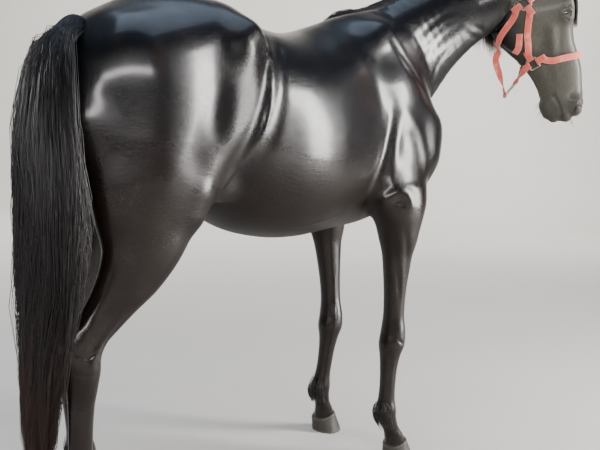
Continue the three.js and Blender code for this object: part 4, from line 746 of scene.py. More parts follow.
def head_and_legs(p):
    """Where the skin's net is made finer"""
    h = to_head(p)
    return (h[:, 2] > -390) & (h[:, 0] > -30) & (np.abs(h[:, 1]) < 180) | (p[:, 2] < 700)


def eyes_and_muzzle(p):
    """Where it is made finer once more"""
    h = to_head(p)
    eye = np.minimum(*(np.linalg.norm(p - eye_place(hand)[0], axis=1) for hand in (1, -1))) < 58
    return eye | (h[:, 0] > 535) & (np.abs(h[:, 1]) < 120) & (h[:, 2] > -260)


def mark_skin(skin):
    """Tells the finish where the face, mouth, muzzle, flank and undersides are"""
    points = points_of(skin)
    h = to_head(points)
    side = np.abs(h[:, 1])
    mark(skin, "face", smoothstep(h[:, 0], 10, 130) * smoothstep(h[:, 2], -300, -170) * (side < 190))
    down = slope(flesh, points, 4.0)[:, 2]
    mark(skin, "under", smoothstep(-down, -0.02, 0.5))
    ahead = points[:, 0] - FLANK["at"]
    above = points[:, 2] - FLANK["high"] - FLANK["lean"] * ahead
    flank = ahead**2 / FLANK["long"] ** 2 + above**2 / FLANK["tall"] ** 2
    mark(skin, "flank", np.exp(-flank) * smoothstep(np.abs(points[:, 1]), 120, 200))
    run, off = along_mouth(h)
    # The mouth's band is where the finish paints shade along the slit between the lips
    mark(skin, "mouth", np.exp(-((off / 4.5) ** 2)) * (run > -4) * (h[:, 0] > 500) * (side < 90))
    mark(skin, "muzzle", smoothstep(h[:, 0], 500, 600) * (h[:, 2] > -300) * (side < 150))


def make_skin():
    def shrunk(p):
        return flesh(p) + COAT_DEPTH

    def full(p):
        return flesh_with_head(p) + hide_lines(p) + COAT_DEPTH

    points, quads = net(shrunk, NET_LOW, NET_HIGH, SKIN_CELL)
    skin = mesh_piece("skin", points, quads)
    set_points(skin, settle(shrunk, points_of(skin), most=SKIN_CELL * 0.5))
    refine(skin, head_and_legs)
    set_points(skin, settle(full, points_of(skin), most=SKIN_CELL * 0.5))
    refine(skin, eyes_and_muzzle)
    set_points(skin, settle(full, points_of(skin), rounds=4, most=SKIN_CELL * 0.3))
    mark_skin(skin)
    return skin


skin = make_skin()
flesh_nodes = [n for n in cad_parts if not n.startswith(("halter", "eye", "tail")) and "hoof" not in n]
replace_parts(skin, *flesh_nodes)


# Hair: locks of fine strands, each a thin tapered blade of three sides
STRAND_SIDES = 3
STRAND_FLAT = 0.5
STRAND_TAPER = 0.7
PATCH = 0.003  # size of one strand's patch on its texture


def blades(name, paths, wide, root_uv):
    """A coat piece from paths (strand, step, place), widths and the roots' places on the unwrap"""
    strands, steps, _ = paths.shape
    onward = unit(np.gradient(paths, axis=1))
    side = unit(np.cross(onward, RNG.normal(size=(strands, 1, 3)) + 1e-3))
    face = np.cross(onward, side)
    share = np.linspace(0, 1, steps)[None, :, None]
    half = np.asarray(wide, float).reshape(-1, 1, 1) / 2
    size = half * np.minimum(1, 0.55 + share * 3) * np.maximum(1 - share, 0.02) ** STRAND_TAPER
    rings = []
    for j in range(STRAND_SIDES):
        angle = 2 * math.pi * j / STRAND_SIDES
        rings.append(paths + size * (math.cos(angle) * side + STRAND_FLAT * math.sin(angle) * face))
    points = np.stack(rings, 2).reshape(-1, 3)
    per = steps * STRAND_SIDES
    faces = []
    for i in range(steps - 1):
        for j in range(STRAND_SIDES):
            a, b = i * STRAND_SIDES + j, i * STRAND_SIDES + (j + 1) % STRAND_SIDES
            faces += [(a, b, a + STRAND_SIDES), (b, b + STRAND_SIDES, a + STRAND_SIDES)]
    faces += [(2, 1, 0), (per - 3, per - 2, per - 1)]
    faces = (np.array(faces)[None] + (np.arange(strands) * per)[:, None, None]).reshape(-1, 3)
    piece = mesh_piece(name, points, faces)
    mark(piece, "tip", np.tile(np.repeat(np.linspace(0, 1, steps), STRAND_SIDES), strands))
    mark(piece, "strand", np.repeat(RNG.random(strands), per))
    spread = [np.linspace(0, PATCH, count) for count in (steps, STRAND_SIDES)]
    patch = np.stack(np.meshgrid(*spread, indexing="ij"), -1)
    uv = (np.asarray(root_uv)[:, None] * (1 - PATCH) + patch.reshape(1, -1, 2)[:, :, ::-1]).reshape(-1, 2)
    layer = piece.data.uv_layers.new(name="OFBake")
    corner = np.empty(len(piece.data.loops), np.int32)
    piece.data.loops.foreach_get("vertex_index", corner)
    layer.data.foreach_set("uv", uv[corner].astype(np.float32).ravel())
    return piece


def fall(root, ahead, length, steps, droop, lift, cling=0.0, wave=0.0):
    """Lets strands fall from their roots: they bend down step by step and stay off the body"""
    p, way = root.copy(), unit(ahead)
    path = [p.copy()]
    length, lift = np.asarray(length)[:, None], np.asarray(lift)
    phase = RNG.random((len(p), 1)) * 6.28
    for i in range(1, steps + 1):
        way = unit(way * (1 - droop) + np.array((0, 0, -1)) * droop)
        p = p + way * length / steps
        if wave:
            p = p + wave * math.sin(0.9 * i) * np.cross(way, (0.3, 0.2, 1)) * np.sin(phase + 0.8 * i)
        over = lift * (0.4 if i == 1 else 1)
        d = flesh(p)
        g = unit(slope(flesh, p, 3.0))
        move = np.where(d < over, over - d, (over - d) * cling)
        p = p + g * move[:, None]
        way = unit(p - path[-1])
        path.append(p.copy())
    return np.stack(path, 1)


def gathered(paths, locks, grip):
    """Draws each strand towards the middle of its lock, more so at the tips"""
    share = np.linspace(0, 1, paths.shape[1])[None, :, None]
    for lock in np.unique(locks):
        mine = locks == lock
        middle = paths[mine].mean(0)
        paths[mine] += (middle - paths[mine]) * (grip * share[0] ** 1.3)
    return paths


TAIL_LINE = [(-655, 0, 1450), (-712, 0, 1466), (-762, 0, 1420), (-792, -12, 1320), (-806, -34, 1160),
             (-796, -48, 960), (-792, -44, 740), (-802, -24, 480), (-806, -22, 130)]
TAIL = {"dock": 30, "last_root": 0.3, "spread": 82, "aside": 1.9, "clear": 8,
        "strands": 3900, "steps": 8, "pieces": 4, "locks": 46}
tail_line = Curve([(x, y + SWAY["by"], z) for x, y, z in TAIL_LINE])


def make_tail():
    pieces = []
    for part in range(TAIL["pieces"]):
        n = TAIL["strands"]
        locks = RNG.integers(0, TAIL["locks"], n)
        lock_turn = RNG.random(TAIL["locks"]) * 6.28
        lock_reach, lock_swell = RNG.random(TAIL["locks"]), RNG.random(TAIL["locks"])
        turn = lock_turn[locks] + RNG.normal(0, 0.35, n)
        start = TAIL["last_root"] * RNG.random(n) ** 1.1
        until = 0.70 + 0.30 * (0.7 * lock_reach[locks] + 0.3 * RNG.random(n))
        depth = RNG.random(n) ** 0.6
        steps = TAIL["steps"] + 1
        paths = np.empty((n, steps, 3))
        onward = tail_line.way(start)
        back = np.cross(onward, (0, 1, 0))
        out = np.stack([0 * turn, np.cos(turn), 0 * turn], 1) + back * 0.55 * np.sin(turn)[:, None]
        for k in range(steps):
            u = k / (steps - 1)
            at = start + (until - start) * u
            swell = math.sin(math.pi * u**0.72) * (0.55 + 0.6 * lock_swell[locks]) * depth
            far = TAIL["dock"] * (0.5 + 0.4 * min(1, 3 * u)) + TAIL["spread"] * swell
            p = tail_line.at(at) + out * far[:, None]
            p[:, 1] += out[:, 1] * TAIL["spread"] * (TAIL["aside"] - 1) * swell
            p[:, 0] += 16 * u * np.sin(3.1 * u * 5 + lock_turn[locks] * 3) + RNG.normal(0, 2.2, n) * u
            p[:, 1] += 18 * u * np.sin(2.6 * u * 5 + lock_turn[locks] * 5) + RNG.normal(0, 2.2, n) * u
            paths[:, k] = p
        paths = gathered(paths, locks, 0.42)
        for k in range(1, steps):
            d = flesh(paths[:, k])
            close = d < TAIL["clear"]
            if close.any():
                g = unit(slope(flesh, paths[close, k], 3.0))
                paths[close, k] += g * (TAIL["clear"] - d[close])[:, None]
        uv = np.stack([start / TAIL["last_root"], (turn / (2 * math.pi)) % 1], 1)
        pieces.append(blades(f"tail_hair_{part + 1}", paths, 2.0 + 1.2 * RNG.random(n), uv))
    return pieces


MANE = {"strands": 3300, "length": 400, "steps": 9, "pieces": 3,
        "start": 0.12, "end": 0.985, "locks": 60}


def make_mane():
    pieces = []
    for part in range(MANE["pieces"]):
        n = MANE["strands"]
        share = np.sort(RNG.random(n))
        t = MANE["start"] + (MANE["end"] - MANE["start"]) * share
        locks = (t * MANE["locks"] + RNG.normal(0, 0.35, n)).astype(int)
        centre = neck_line.station(t)
        onward = unit(neck_line.station(np.minimum(t + 0.004, 1)) - neck_line.station(t - 0.004))
        left = unit(np.cross((0, 0, 1), onward))
        up = np.cross(onward, left)
        crest = settle(flesh, centre + up * neck_deep(t)[:, None])
        across = RNG.normal(0, 9, n)[:, None]
        root = settle(flesh, crest + left * across, lift=-6.0)
        lock_length = 0.75 + 0.4 * np.random.default_rng(3).random(locks.max() + 2)
        ahead = left * (0.9 + 0.1 * RNG.random((n, 1))) + up * (0.5 + 0.5 * RNG.random((n, 1)))
        ahead = ahead + onward * RNG.normal(-0.1, 0.15, (n, 1))
        length = MANE["length"] * lock_length[locks] * (0.8 + 0.25 * RNG.random(n))
        lift = 5 + 22 * RNG.random(n) ** 1.5
        paths = fall(root, ahead, length, MANE["steps"], 0.30, lift, cling=0.12, wave=5.0)
        paths = gathered(paths, locks, 0.45)
        uv = np.stack([share, np.clip(0.5 + across[:, 0] / 60, 0, 1)], 1)
        pieces.append(blades(f"mane_hair_{part + 1}", paths, 1.8 + 1.0 * RNG.random(n), uv))
    return pieces


FORELOCK = {"strands": 1500, "length": 240, "steps": 8}


def make_forelock():
    n = FORELOCK["strands"]
    s, a = RNG.random(n) - 0.5, RNG.random(n)
    flat = np.stack([-4 + 26 * a, 44 * s, 0 * s], 1)
    root = settle(flesh, POLL + HEAD_SIZE * (flat + (0, 0, 12)) @ HEAD_AXES, lift=-6.0)
    ahead = np.stack([0.8 + 0 * s, s * 1.2, 0.7 + 0.3 * a], 1) @ HEAD_AXES
    length = FORELOCK["length"] * (0.6 + 0.5 * RNG.random(n))
    locks = ((s + 0.5) * 9).astype(int)
    lift = 4 + 12 * RNG.random(n)
    paths = fall(root, ahead, length, FORELOCK["steps"], 0.42, lift, cling=0.4, wave=3.0)
    paths = gathered(paths, locks, 0.5)
    return blades("forelock_hair", paths, 1.8 + 0.8 * RNG.random(n), np.stack([a, s + 0.5], 1))


FEATHER = {"strands": 520, "length": 54, "steps": 6, "height": 187, "lowest": 8}


def make_feathers():
    every_path, every_uv = [], []
    for k, quarter in enumerate(quarters.values()):
        n = FEATHER["strands"]
        s = RNG.uniform(-1, 1, n)
        z = FEATHER["height"] + RNG.normal(0, 22, n) - 14 * s * s
        aside = quarter.side(z) + quarter.wide(z) * 0.8 * s
        root = quarter.place(quarter.back(z) + 12 + 24 * s * s, aside, z)
        root = settle(flesh, root, lift=-3.0)
        ahead = np.stack([-0.6 + 0.35 * np.abs(s), 0.45 * s * quarter.hand, -0.9 + 0 * s], 1)
        length = FEATHER["length"] * (0.55 + 0.6 * RNG.random(n)) * (1 - 0.35 * np.abs(s))
        path = fall(root, ahead, length, FEATHER["steps"], 0.24, 1 + 6 * RNG.random(n), cling=0.2, wave=1.2)
        path[:, :, 2] = np.maximum(path[:, :, 2], FEATHER["lowest"])
        every_path.append(gathered(path, ((s + 1) * 6).astype(int), 0.55))
        every_uv.append(np.stack([(s + 1) / 2 * 0.24 + k * 0.25, np.clip((z - 130) / 120, 0, 1)], 1))
    paths = np.concatenate(every_path)
    return blades("feather_hair", paths, 1.1 + 0.5 * RNG.random(len(paths)), np.concatenate(every_uv))


WHISKERS = {"strands": 90, "length": 34, "steps": 4}


def make_whiskers():
    """Single stiff hairs on the lips and chin"""
    n = WHISKERS["strands"]
    along, turn = RNG.uniform(560, 640, n), RNG.uniform(-1, 1, n)
    low = RNG.random(n) < 0.55
    guess = np.stack([along - 30 * low, 60 * turn, np.where(low, -185, -80)], 1)
    root = settle(flesh_with_head, POLL + HEAD_SIZE * guess @ HEAD_AXES, lift=-2.0, rounds=6)
    ahead = unit(slope(flesh_with_head, root)) + np.array(way_in_head(0.5, 0, 0)) + RNG.normal(0, 0.2, (n, 3))
    length = WHISKERS["length"] * (0.4 + 0.8 * RNG.random(n))
    paths = fall(root, ahead, length, WHISKERS["steps"], 0.10, 1.0)
    uv = np.stack([(along - 560) / 80, (turn + 1) / 2], 1)
    return blades("whiskers", paths, 0.7 + 0.2 * RNG.random(n), uv)


# Ears, eyes and hooves
EAR = {"base": (38, 48, -34), "length": 168, "wide": 30, "lean": 0.25, "splay": 0.22, "curl": 6}


def ear_frame(hand):
    """An ear's base, its way up, the way its opening faces and the way across it"""
    up = way_in_head(-math.cos(EAR["lean"]), hand * EAR["splay"], math.sin(EAR["lean"]))
    face = way_in_head(math.sin(EAR["lean"]) + 0.15, hand * 0.75, math.cos(EAR["lean"]) * 0.7)
    face = unit(face - up * (face @ up))
    along, side, high = EAR["base"]
    return in_head(along, side * hand, high), up, face, np.cross(up, face)


def make_ear(side, hand, rings=26, sides=40):
    """A leaf rolled round its opening: outside and inside are one closed sheet"""
    base, up, face, across = ear_frame(hand)
    t = np.linspace(-0.12, 1, rings)[:, None]
    grow = np.clip(0.16 + 0.84 * np.maximum(t, 0), 0, 1)
    size = np.sin(math.pi * grow**0.78) ** 0.75
    size = np.where(t < 0, size + 1.5 * t * t, size)
    angle = np.linspace(0, 2 * math.pi, sides, endpoint=False)[None]
    wide = EAR["wide"] * size
    centre = base + up * (EAR["length"] * t) + face * (EAR["curl"] * np.sin(math.pi * np.clip(t, 0, 1)))
    c, s = np.cos(angle)[..., None], np.sin(angle)[..., None]
    outside = centre[:, None] + wide[:, :, None] * (c * across + 0.8 * s * face)
    opening = smoothstep(np.cos(angle - math.pi / 2), -0.1, 0.9) * smoothstep(t, 0.02, 0.25)
    inward = -face * (wide * 1.25 * opening * (1 - 0.25 * t))[..., None]
    points = (outside + inward).reshape(-1, 3)
    return mesh_piece("ear_skin_" + side, points, np.array(tube_faces(rings, sides)))


def make_eye(side, hand):
    centre, axes = eye_place(hand)
    bpy.ops.mesh.primitive_uv_sphere_add(segments=48, ring_count=32, radius=1)
    ball = bpy.context.object
    ball.name = "eyeball_" + side
    p = points_of(ball) * MM + SHIFT
    bulge = 1 + 0.06 * smoothstep(p[:, 2], 0.55, 0.95)
    points = centre + (p * bulge[:, None] * EYE["radius"] * 0.985) @ axes
    set_points(ball, points)
    ball.data.polygons.foreach_set("use_smooth", np.full(len(ball.data.polygons), True))
    mark(ball, "along", p[:, 0])
    mark(ball, "up", p[:, 1])
    mark(ball, "out", p[:, 2])
    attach(ball, "root")
    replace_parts(ball, "eye_" + side)
    return ball


HOOF = {"toe": 68, "heel": 52, "wide": 58, "coronet_toe": 84, "coronet_heel": 52, "ahead": 18, "rim": 1.5,
        "sides": 72, "rings": 22}


def make_hoof(name, quarter):
    """Rings from the ground up to where the leg's flesh begins, with growth ridges and a coronet"""
    side = quarter.side(np.zeros(1))[0]
    toe = quarter.place(quarter.front(HOOF["coronet_toe"]), side, HOOF["coronet_toe"])
    heel = quarter.place(quarter.back(HOOF["coronet_heel"]), side, HOOF["coronet_heel"])
    centre, run = (toe + heel) / 2, toe - heel
    u = unit(run * (1, 0, 1))
    up = unit(np.cross(u, (0, 1, 0)))
    up = up if up[2] > 0 else -up
    angle = np.linspace(0, 2 * math.pi, HOOF["sides"], endpoint=False)[:, None]
    c, s = np.cos(angle), np.sin(angle)
    way = unit(u * np.linalg.norm(run) * c + np.array((0, 2 * quarter.wide(75), 0)) * s)
    low, high = np.full(len(way), 20.0), np.full(len(way), 90.0)
    for _ in range(14):
        middle = (low + high) / 2
        inside = flesh(centre + way * middle[:, None]) < 0
        low, high = np.where(inside, middle, low), np.where(inside, high, middle)
    top = centre + way * (low + HOOF["rim"])[:, None] - up * 0.3
    reach = np.where(c > 0, HOOF["toe"], HOOF["heel"]) * c + 10 * np.maximum(-c - 0.25, 0)
    ground = np.hstack([centre[0] + HOOF["ahead"] + reach, centre[1] + HOOF["wide"] * s, 0 * c])
    rings = [ground + (top * (1, 1, 0) - ground) * 0.06]
    for i in range(1, HOOF["rings"]):
        t = 0.05 + 0.95 * i / (HOOF["rings"] - 1)
        ridge = 0.35 * math.sin(t * 46) * (1 - t) + 0.9 * math.exp(-(((t - 0.93) / 0.05) ** 2))
        ring = ground + (top - ground) * t
        rings.append(ring + unit((ring - ring.mean(0)) * (1, 1, 0)) * ridge)
    rings.append(top + (centre - top) * 0.12 + up * 1.2)
    points = np.concatenate(rings + [[ground.mean(0)], [centre + up]])
    sides = HOOF["sides"]
    faces = tube_faces(len(rings), sides)
    last = (len(rings) - 1) * sides
    faces += [((j + 1) % sides, j, len(points) - 2) for j in range(sides)]
    faces += [(last + j, last + (j + 1) % sides, len(points) - 1) for j in range(sides)]
    hoof = mesh_piece("horn_" + name, points, faces)
    mark(hoof, "height", np.r_[np.repeat(np.linspace(0, 1, len(rings)), sides), 0, 1])
    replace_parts(hoof, name + "_hoof")
    return hoof


# The halter: woven straps folded round square rings
HALTER = {"wide": 25, "thick": 3, "lift": 4.5, "over": 3.8, "twist": 0.9, "ring": 19.7, "chin_ring": 32,
          "corner": 5, "bar": 2.8, "slack": 0.8, "flap": 34}
HALTER_PLACES = {
    "upper": ((129, 100, -198), 24), "lower": ((371, 66, -200), 20), "cheek": [(250, 100, -206)],
    "crown": [(72, 100, -154), (24, 86, -110), (-20, 56, -68), (-48, 0, -34)],
    "noseband": [(371, 70, -130), (371, 64, -70), (371, 40, -8), (371, 0, 0)],
    "throat": [(172, 100, -250), (220, 90, -300), (262, 50, -330), (272, 0, -330)],
    "chin_ring": (456, 0, -300), "chin_tilt": (-0.66, 0, 0.75), "jaw": [(380, 0, -332), (320, 0, -336)],
    "jaw_end": [(290, 0, -326), (262, 0, -332)],
    "tongue": [(240, 90, -236), (268, 84, -241), (298, 78, -250), (320, 70, -268)],
}
BAR_TURN = HALTER["bar"] + HALTER["slack"] + HALTER["thick"] / 2
STRAP_HEIGHT = HALTER["lift"] + HALTER["thick"] / 2
RING_HEIGHT = STRAP_HEIGHT + BAR_TURN


class RingPlace:
    """A ring's middle, its flat side's normal, its two ways and its half width"""

    def __init__(self, middle, normal, one, two, half):
        self.middle, self.normal, self.one, self.two, self.half = middle, normal, one, two, half

    def fold(self, way, reach=HALTER["flap"]):
        return fold_round(self.middle + way * self.half, way, self.normal, reach)


def rounded_square(half_wide, half_high, round_off, steps):
    """Points round an oblong, its corners rounded"""
    line = []
    for a, b in ((1, 1), (-1, 1), (-1, -1), (1, -1)):
        for k in range(steps + 1):
            turn = math.atan2(b, a) + (k / steps - 0.5) * math.pi / 2
            corner = (a * (half_wide - round_off), b * (half_high - round_off))
            line.append((corner[0] + round_off * math.cos(turn), corner[1] + round_off * math.sin(turn)))
    return np.array(line)


def ring_on_head(at, turn, hand):
    surface = settle(flesh, in_head(at[0], at[1] * hand, at[2])[None], rounds=4)[0]
    normal = unit(slope(flesh, surface[None], 12.0)[0])
    down = way_in_head(math.cos(math.radians(turn)), 0, math.sin(math.radians(turn)))
    one = unit(down - normal * (down @ normal))
    two = np.cross(normal, one) * hand
    return RingPlace(surface + normal * RING_HEIGHT, normal, one, two, HALTER["ring"])


def make_ring(name, place, sides=14):
    line = rounded_square(place.half, place.half, HALTER["corner"], 6)
    p = place.middle + line[:, :1] * place.one + line[:, 1:] * place.two
    way = unit(np.roll(p, -1, 0) - np.roll(p, 1, 0))
    out = np.cross(way, place.normal)
    angle = np.linspace(0, 2 * math.pi, sides, endpoint=False)[None, :, None]
    bar = HALTER["bar"] * 0.97
    points = p[:, None] + bar * (np.cos(angle) * out[:, None] + np.sin(angle) * place.normal)
    ring = mesh_piece("ring_" + name, points.reshape(-1, 3), np.array(tube_faces(len(p), sides, closed=True)))
    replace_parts(ring, "halter_ring_" + name)
    return ring


def fold_round(bar, way, normal, reach=HALTER["flap"]):
    """A strap's places and faces round a bar, from its free end to where it leaves the bar"""
    flap = HALTER["thick"] + 0.6 - BAR_TURN
    steps = [(reach, flap, 0, 1), (reach * 0.7, flap, 0, 1), (reach * 0.44, flap + 1, 0, 1)]
    for angle in np.linspace(math.pi / 2, 3 * math.pi / 2, 10):
        c, s = math.cos(angle), math.sin(angle)
        steps.append((BAR_TURN * c, BAR_TURN * s, c, s))
    steps.append((reach * 0.47, -BAR_TURN, 0, -1))
    return [(bar + way * out + normal * high, way * faces_out + normal * faces_up)
            for out, high, faces_out, faces_up in steps]


def laid(places, lift=0.0):
    return list(settle(flesh, np.array([in_head(*g) for g in places]), lift=STRAP_HEIGHT + lift, rounds=4))


def make_strap(name, points, steps, start=None, end=None, rise=0.0, free=False, twist=0.0):
    """A strap laid on the head at its own height or, if it is free, hanging between its ends"""
    start, end = start or [], (end or [])[::-1]
    curve = Curve([q for q, _ in start[-1:]] + list(points) + [q for q, _ in end[:1]])
    share = np.linspace(0, 1, steps + 1)[1 if start else 0: steps + (0 if end else 1)]
    run = curve.at(share)
    n = unit(slope(flesh, run, 14.0))
    run = run + n * np.maximum(STRAP_HEIGHT + rise - flesh(run), 0)[:, None]
    n = -n
    if free:
        last = end[0][1] if end else n
        n = start[0][1] + (last - start[0][1]) * share[:, None]
    n = n + way_in_head(0, 1, 0) * (twist * np.sin(math.pi * share) ** 2)[:, None]
    p = np.array([q for q, _ in start] + list(run) + [q for q, _ in end])
    normal = np.array([m for _, m in start] + list(unit(n)) + [m for _, m in end])
    way = unit(np.gradient(p, axis=0))
    face = unit(normal - way * (normal * way).sum(1, keepdims=True))
    across = np.cross(way, face)
    section = rounded_square(HALTER["wide"] / 2, HALTER["thick"] / 2, 1.1, 3)
    points = p[:, None] + section[None, :, :1] * across[:, None] + section[None, :, 1:] * face[:, None]
    sides = len(section)
    faces = tube_faces(len(p), sides)
    faces += [tuple(range(sides))[::-1], tuple((len(p) - 1) * sides + j for j in range(sides))]
    strap = mesh_piece("strap_" + name, points.reshape(-1, 3), faces)
    length = np.r_[0, np.cumsum(np.linalg.norm(np.diff(p, axis=0), axis=1))]
    mark(strap, "along", np.repeat(length, sides))
    mark(strap, "across", np.tile(section[:, 0], len(p)))
    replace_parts(strap, "halter_" + name)
    return strap


def make_halter():
    straps, rings = [], []
    places = HALTER_PLACES
    upper, lower = [], []

    def other_side(guide):
        return [(a, -s, d) for a, s, d in guide[::-1] if s]

    def to_face(place):
        return place.two if place.two @ way_in_head(0, 0, 1) > 0 else -place.two

    for side, hand in (("left", 1), ("right", -1)):
        high, low = ring_on_head(*places["upper"], hand), ring_on_head(*places["lower"], hand)
        upper.append(high)
        lower.append(low)
        rings += [make_ring("upper_" + side, high), make_ring("lower_" + side, low)]
        guide = laid([(a, s * hand, d) for a, s, d in places["cheek"]])
        straps.append(make_strap("cheek_" + side, guide, 40, low.fold(-low.one), high.fold(high.one)))
    over_head = (("crown", upper, 1, 110), ("noseband", lower, 1, 90), ("throat", upper, -1, 110))
    for name, pair, towards, steps in over_head:
        guide = laid(places[name]) + laid(other_side(places[name]))
        ends = [place.fold(to_face(place) * towards) for place in pair]
        straps.append(make_strap(name, guide, steps, *ends))
    # the ring under the chin hangs in the loop of the two chin straps
    up, aside = way_in_head(*places["chin_tilt"]), way_in_head(0, 1, 0)
    chin = RingPlace(in_head(*places["chin_ring"]), np.cross(aside, up), up, aside, HALTER["chin_ring"])
    rings.append(make_ring("chin", chin))
    for side, hand, low in (("left", 1, lower[0]), ("right", -1, lower[1])):
        bar = chin.middle + up * chin.half + aside * hand * (HALTER["wide"] / 2 + 1)
        start, end = low.fold(-to_face(low), HALTER["flap"] * 0.6), fold_round(bar, up, chin.normal)
        straps.append(make_strap("chin_" + side, [], 30, start, end, free=True))
    away = way_in_head(-1, 0, -0.1)
    fold = fold_round(chin.middle - up * chin.half, away, unit(np.cross(away, aside)))
    rise = HALTER["thick"] + HALTER["over"]
    guide = [in_head(*q) for q in places["jaw"]] + laid(places["jaw_end"], rise)
    straps.append(make_strap("jaw", guide, 50, fold, rise=rise, free=True, twist=HALTER["twist"]))
    straps.append(make_strap("tongue", laid([(a, -s, d) for a, s, d in places["tongue"]]), 24))
    return straps, rings


tail_pieces = make_tail()
mane_pieces = make_mane()
forelock = make_forelock()
feathers = make_feathers()
whiskers = make_whiskers()
ears = [make_ear("right", -1), make_ear("left", 1)]
eyes = [make_eye("right", -1), make_eye("left", 1)]
hooves = [make_hoof(name, quarter) for name, quarter in quarters.items()]
straps, rings = make_halter()
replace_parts(tail_pieces[0], "tail")
for piece in tail_pieces + mane_pieces + [forelock, feathers, whiskers]:
    "tail_hair" if piece in tail_pieces else "coat"


# Finishes
class Value:
    """A number that a shader works out, kept as the socket that gives it"""

    def __init__(self, finish, socket):
        self.finish, self.socket = finish, socket

    def maths(self, operation, *others):
        inputs = {str(k): value for k, value in enumerate((self, *others))}
        return self.finish.node("Math", {"operation": operation}, **inputs)["Value"]

    def __add__(self, other): return self.maths("ADD", other)
    __radd__ = __add__
    def __mul__(self, other): return self.maths("MULTIPLY", other)
    __rmul__ = __mul__
    def __sub__(self, other): return self.maths("SUBTRACT", other)
    def __rsub__(self, other): return self.finish.number(other).maths("SUBTRACT", self)
    def __truediv__(self, other): return self.maths("DIVIDE", other)
    def __rtruediv__(self, other): return self.finish.number(other).maths("DIVIDE", self)
    def __pow__(self, other): return self.maths("POWER", other)
    def wave(self): return 0.5 + 0.5 * self.maths("SINE")
    def size(self): return self.maths("ABSOLUTE")
    def part(self): return self.maths("FRACT")

    def between(self, low, high):
        """0 below low, 1 above high, smooth in between"""
        return self.finish.node("MapRange", {"interpolation_type": "SMOOTHSTEP"}, Value=self,
                                **{"From Min": low, "From Max": high})["Result"]


class Node:
    def __init__(self, finish, node):
        self.finish, self.node = finish, node

    def __getitem__(self, name):
        return Value(self.finish, self.node.outputs[name])


class Finish:
    """One material and its nodes"""

    def __init__(self, name, **constants):
        self.material = bpy.data.materials.new(name)
        self.material.use_nodes = True
        self.tree = self.material.node_tree
        self.shader = self.tree.nodes["Principled BSDF"]
        for socket, value in constants.items():
            self.feed(self.shader.inputs[socket.replace("_", " ")], value)

    def feed(self, socket, value):
        if isinstance(value, Value):
            self.tree.links.new(value.socket, socket)
        elif isinstance(value, (tuple, list)) and socket.type == "RGBA":
            socket.default_value = (*value, 1)
        else:
            socket.default_value = value

    def node(self, kind, settings, **sockets):
        made = self.tree.nodes.new("ShaderNode" + kind)
        for key, value in settings.items():
            if key == "stops":
                while len(made.color_ramp.elements) < len(value):
                    made.color_ramp.elements.new(0.5)
                for element, (at, colour) in zip(made.color_ramp.elements, value):
                    element.position, element.color = at, (*colour, 1)
            else:
                setattr(made, key, value)
        for key, value in sockets.items():
            self.feed(made.inputs[int(key) if key.isdigit() else key], value)
        return Node(self, made)

    def number(self, value):
        if isinstance(value, Value):
            return value
        return self.node("Math", {"operation": "ADD"}, **{"0": value, "1": 0.0})["Value"]

    def mix(self, share, a, b):
        """Colour a where share is 0, colour b where it is 1"""
        made = self.node("Mix", {"data_type": "RGBA"}, **{"0": share, "6": a, "7": b})
        return Value(self, made.node.outputs[2])

    def place(self, stretch=(1, 1, 1)):
        """The place of a point in the frame, stretched"""
        return self.node("Mapping", {}, Vector=self.node("TexCoord", {})["Object"], Scale=stretch)["Vector"]

    def marked(self, name):
        return self.node("Attribute", {"attribute_name": name})["Fac"]

    def noise(self, scale, vector, detail=2.0):
        return self.node("TexNoise", {}, Scale=scale, Detail=detail, Vector=vector)["Fac"]

    def shade(self, base=None, roughness=None, coat=None, height=None, strength=1.0, distance=0.001):
        for socket, value in (("Base Color", base), ("Roughness", roughness), ("Coat Weight", coat)):
            if value is not None:
                self.feed(self.shader.inputs[socket], value)
        if height is not None:
            bump = self.node("Bump", {}, Height=height, Strength=strength, Distance=distance)
            self.feed(self.shader.inputs["Normal"], bump["Normal"])

    def dress(self, *pieces):
        for piece in pieces:
            piece.data.materials.clear()
            piece.data.materials.append(self.material)


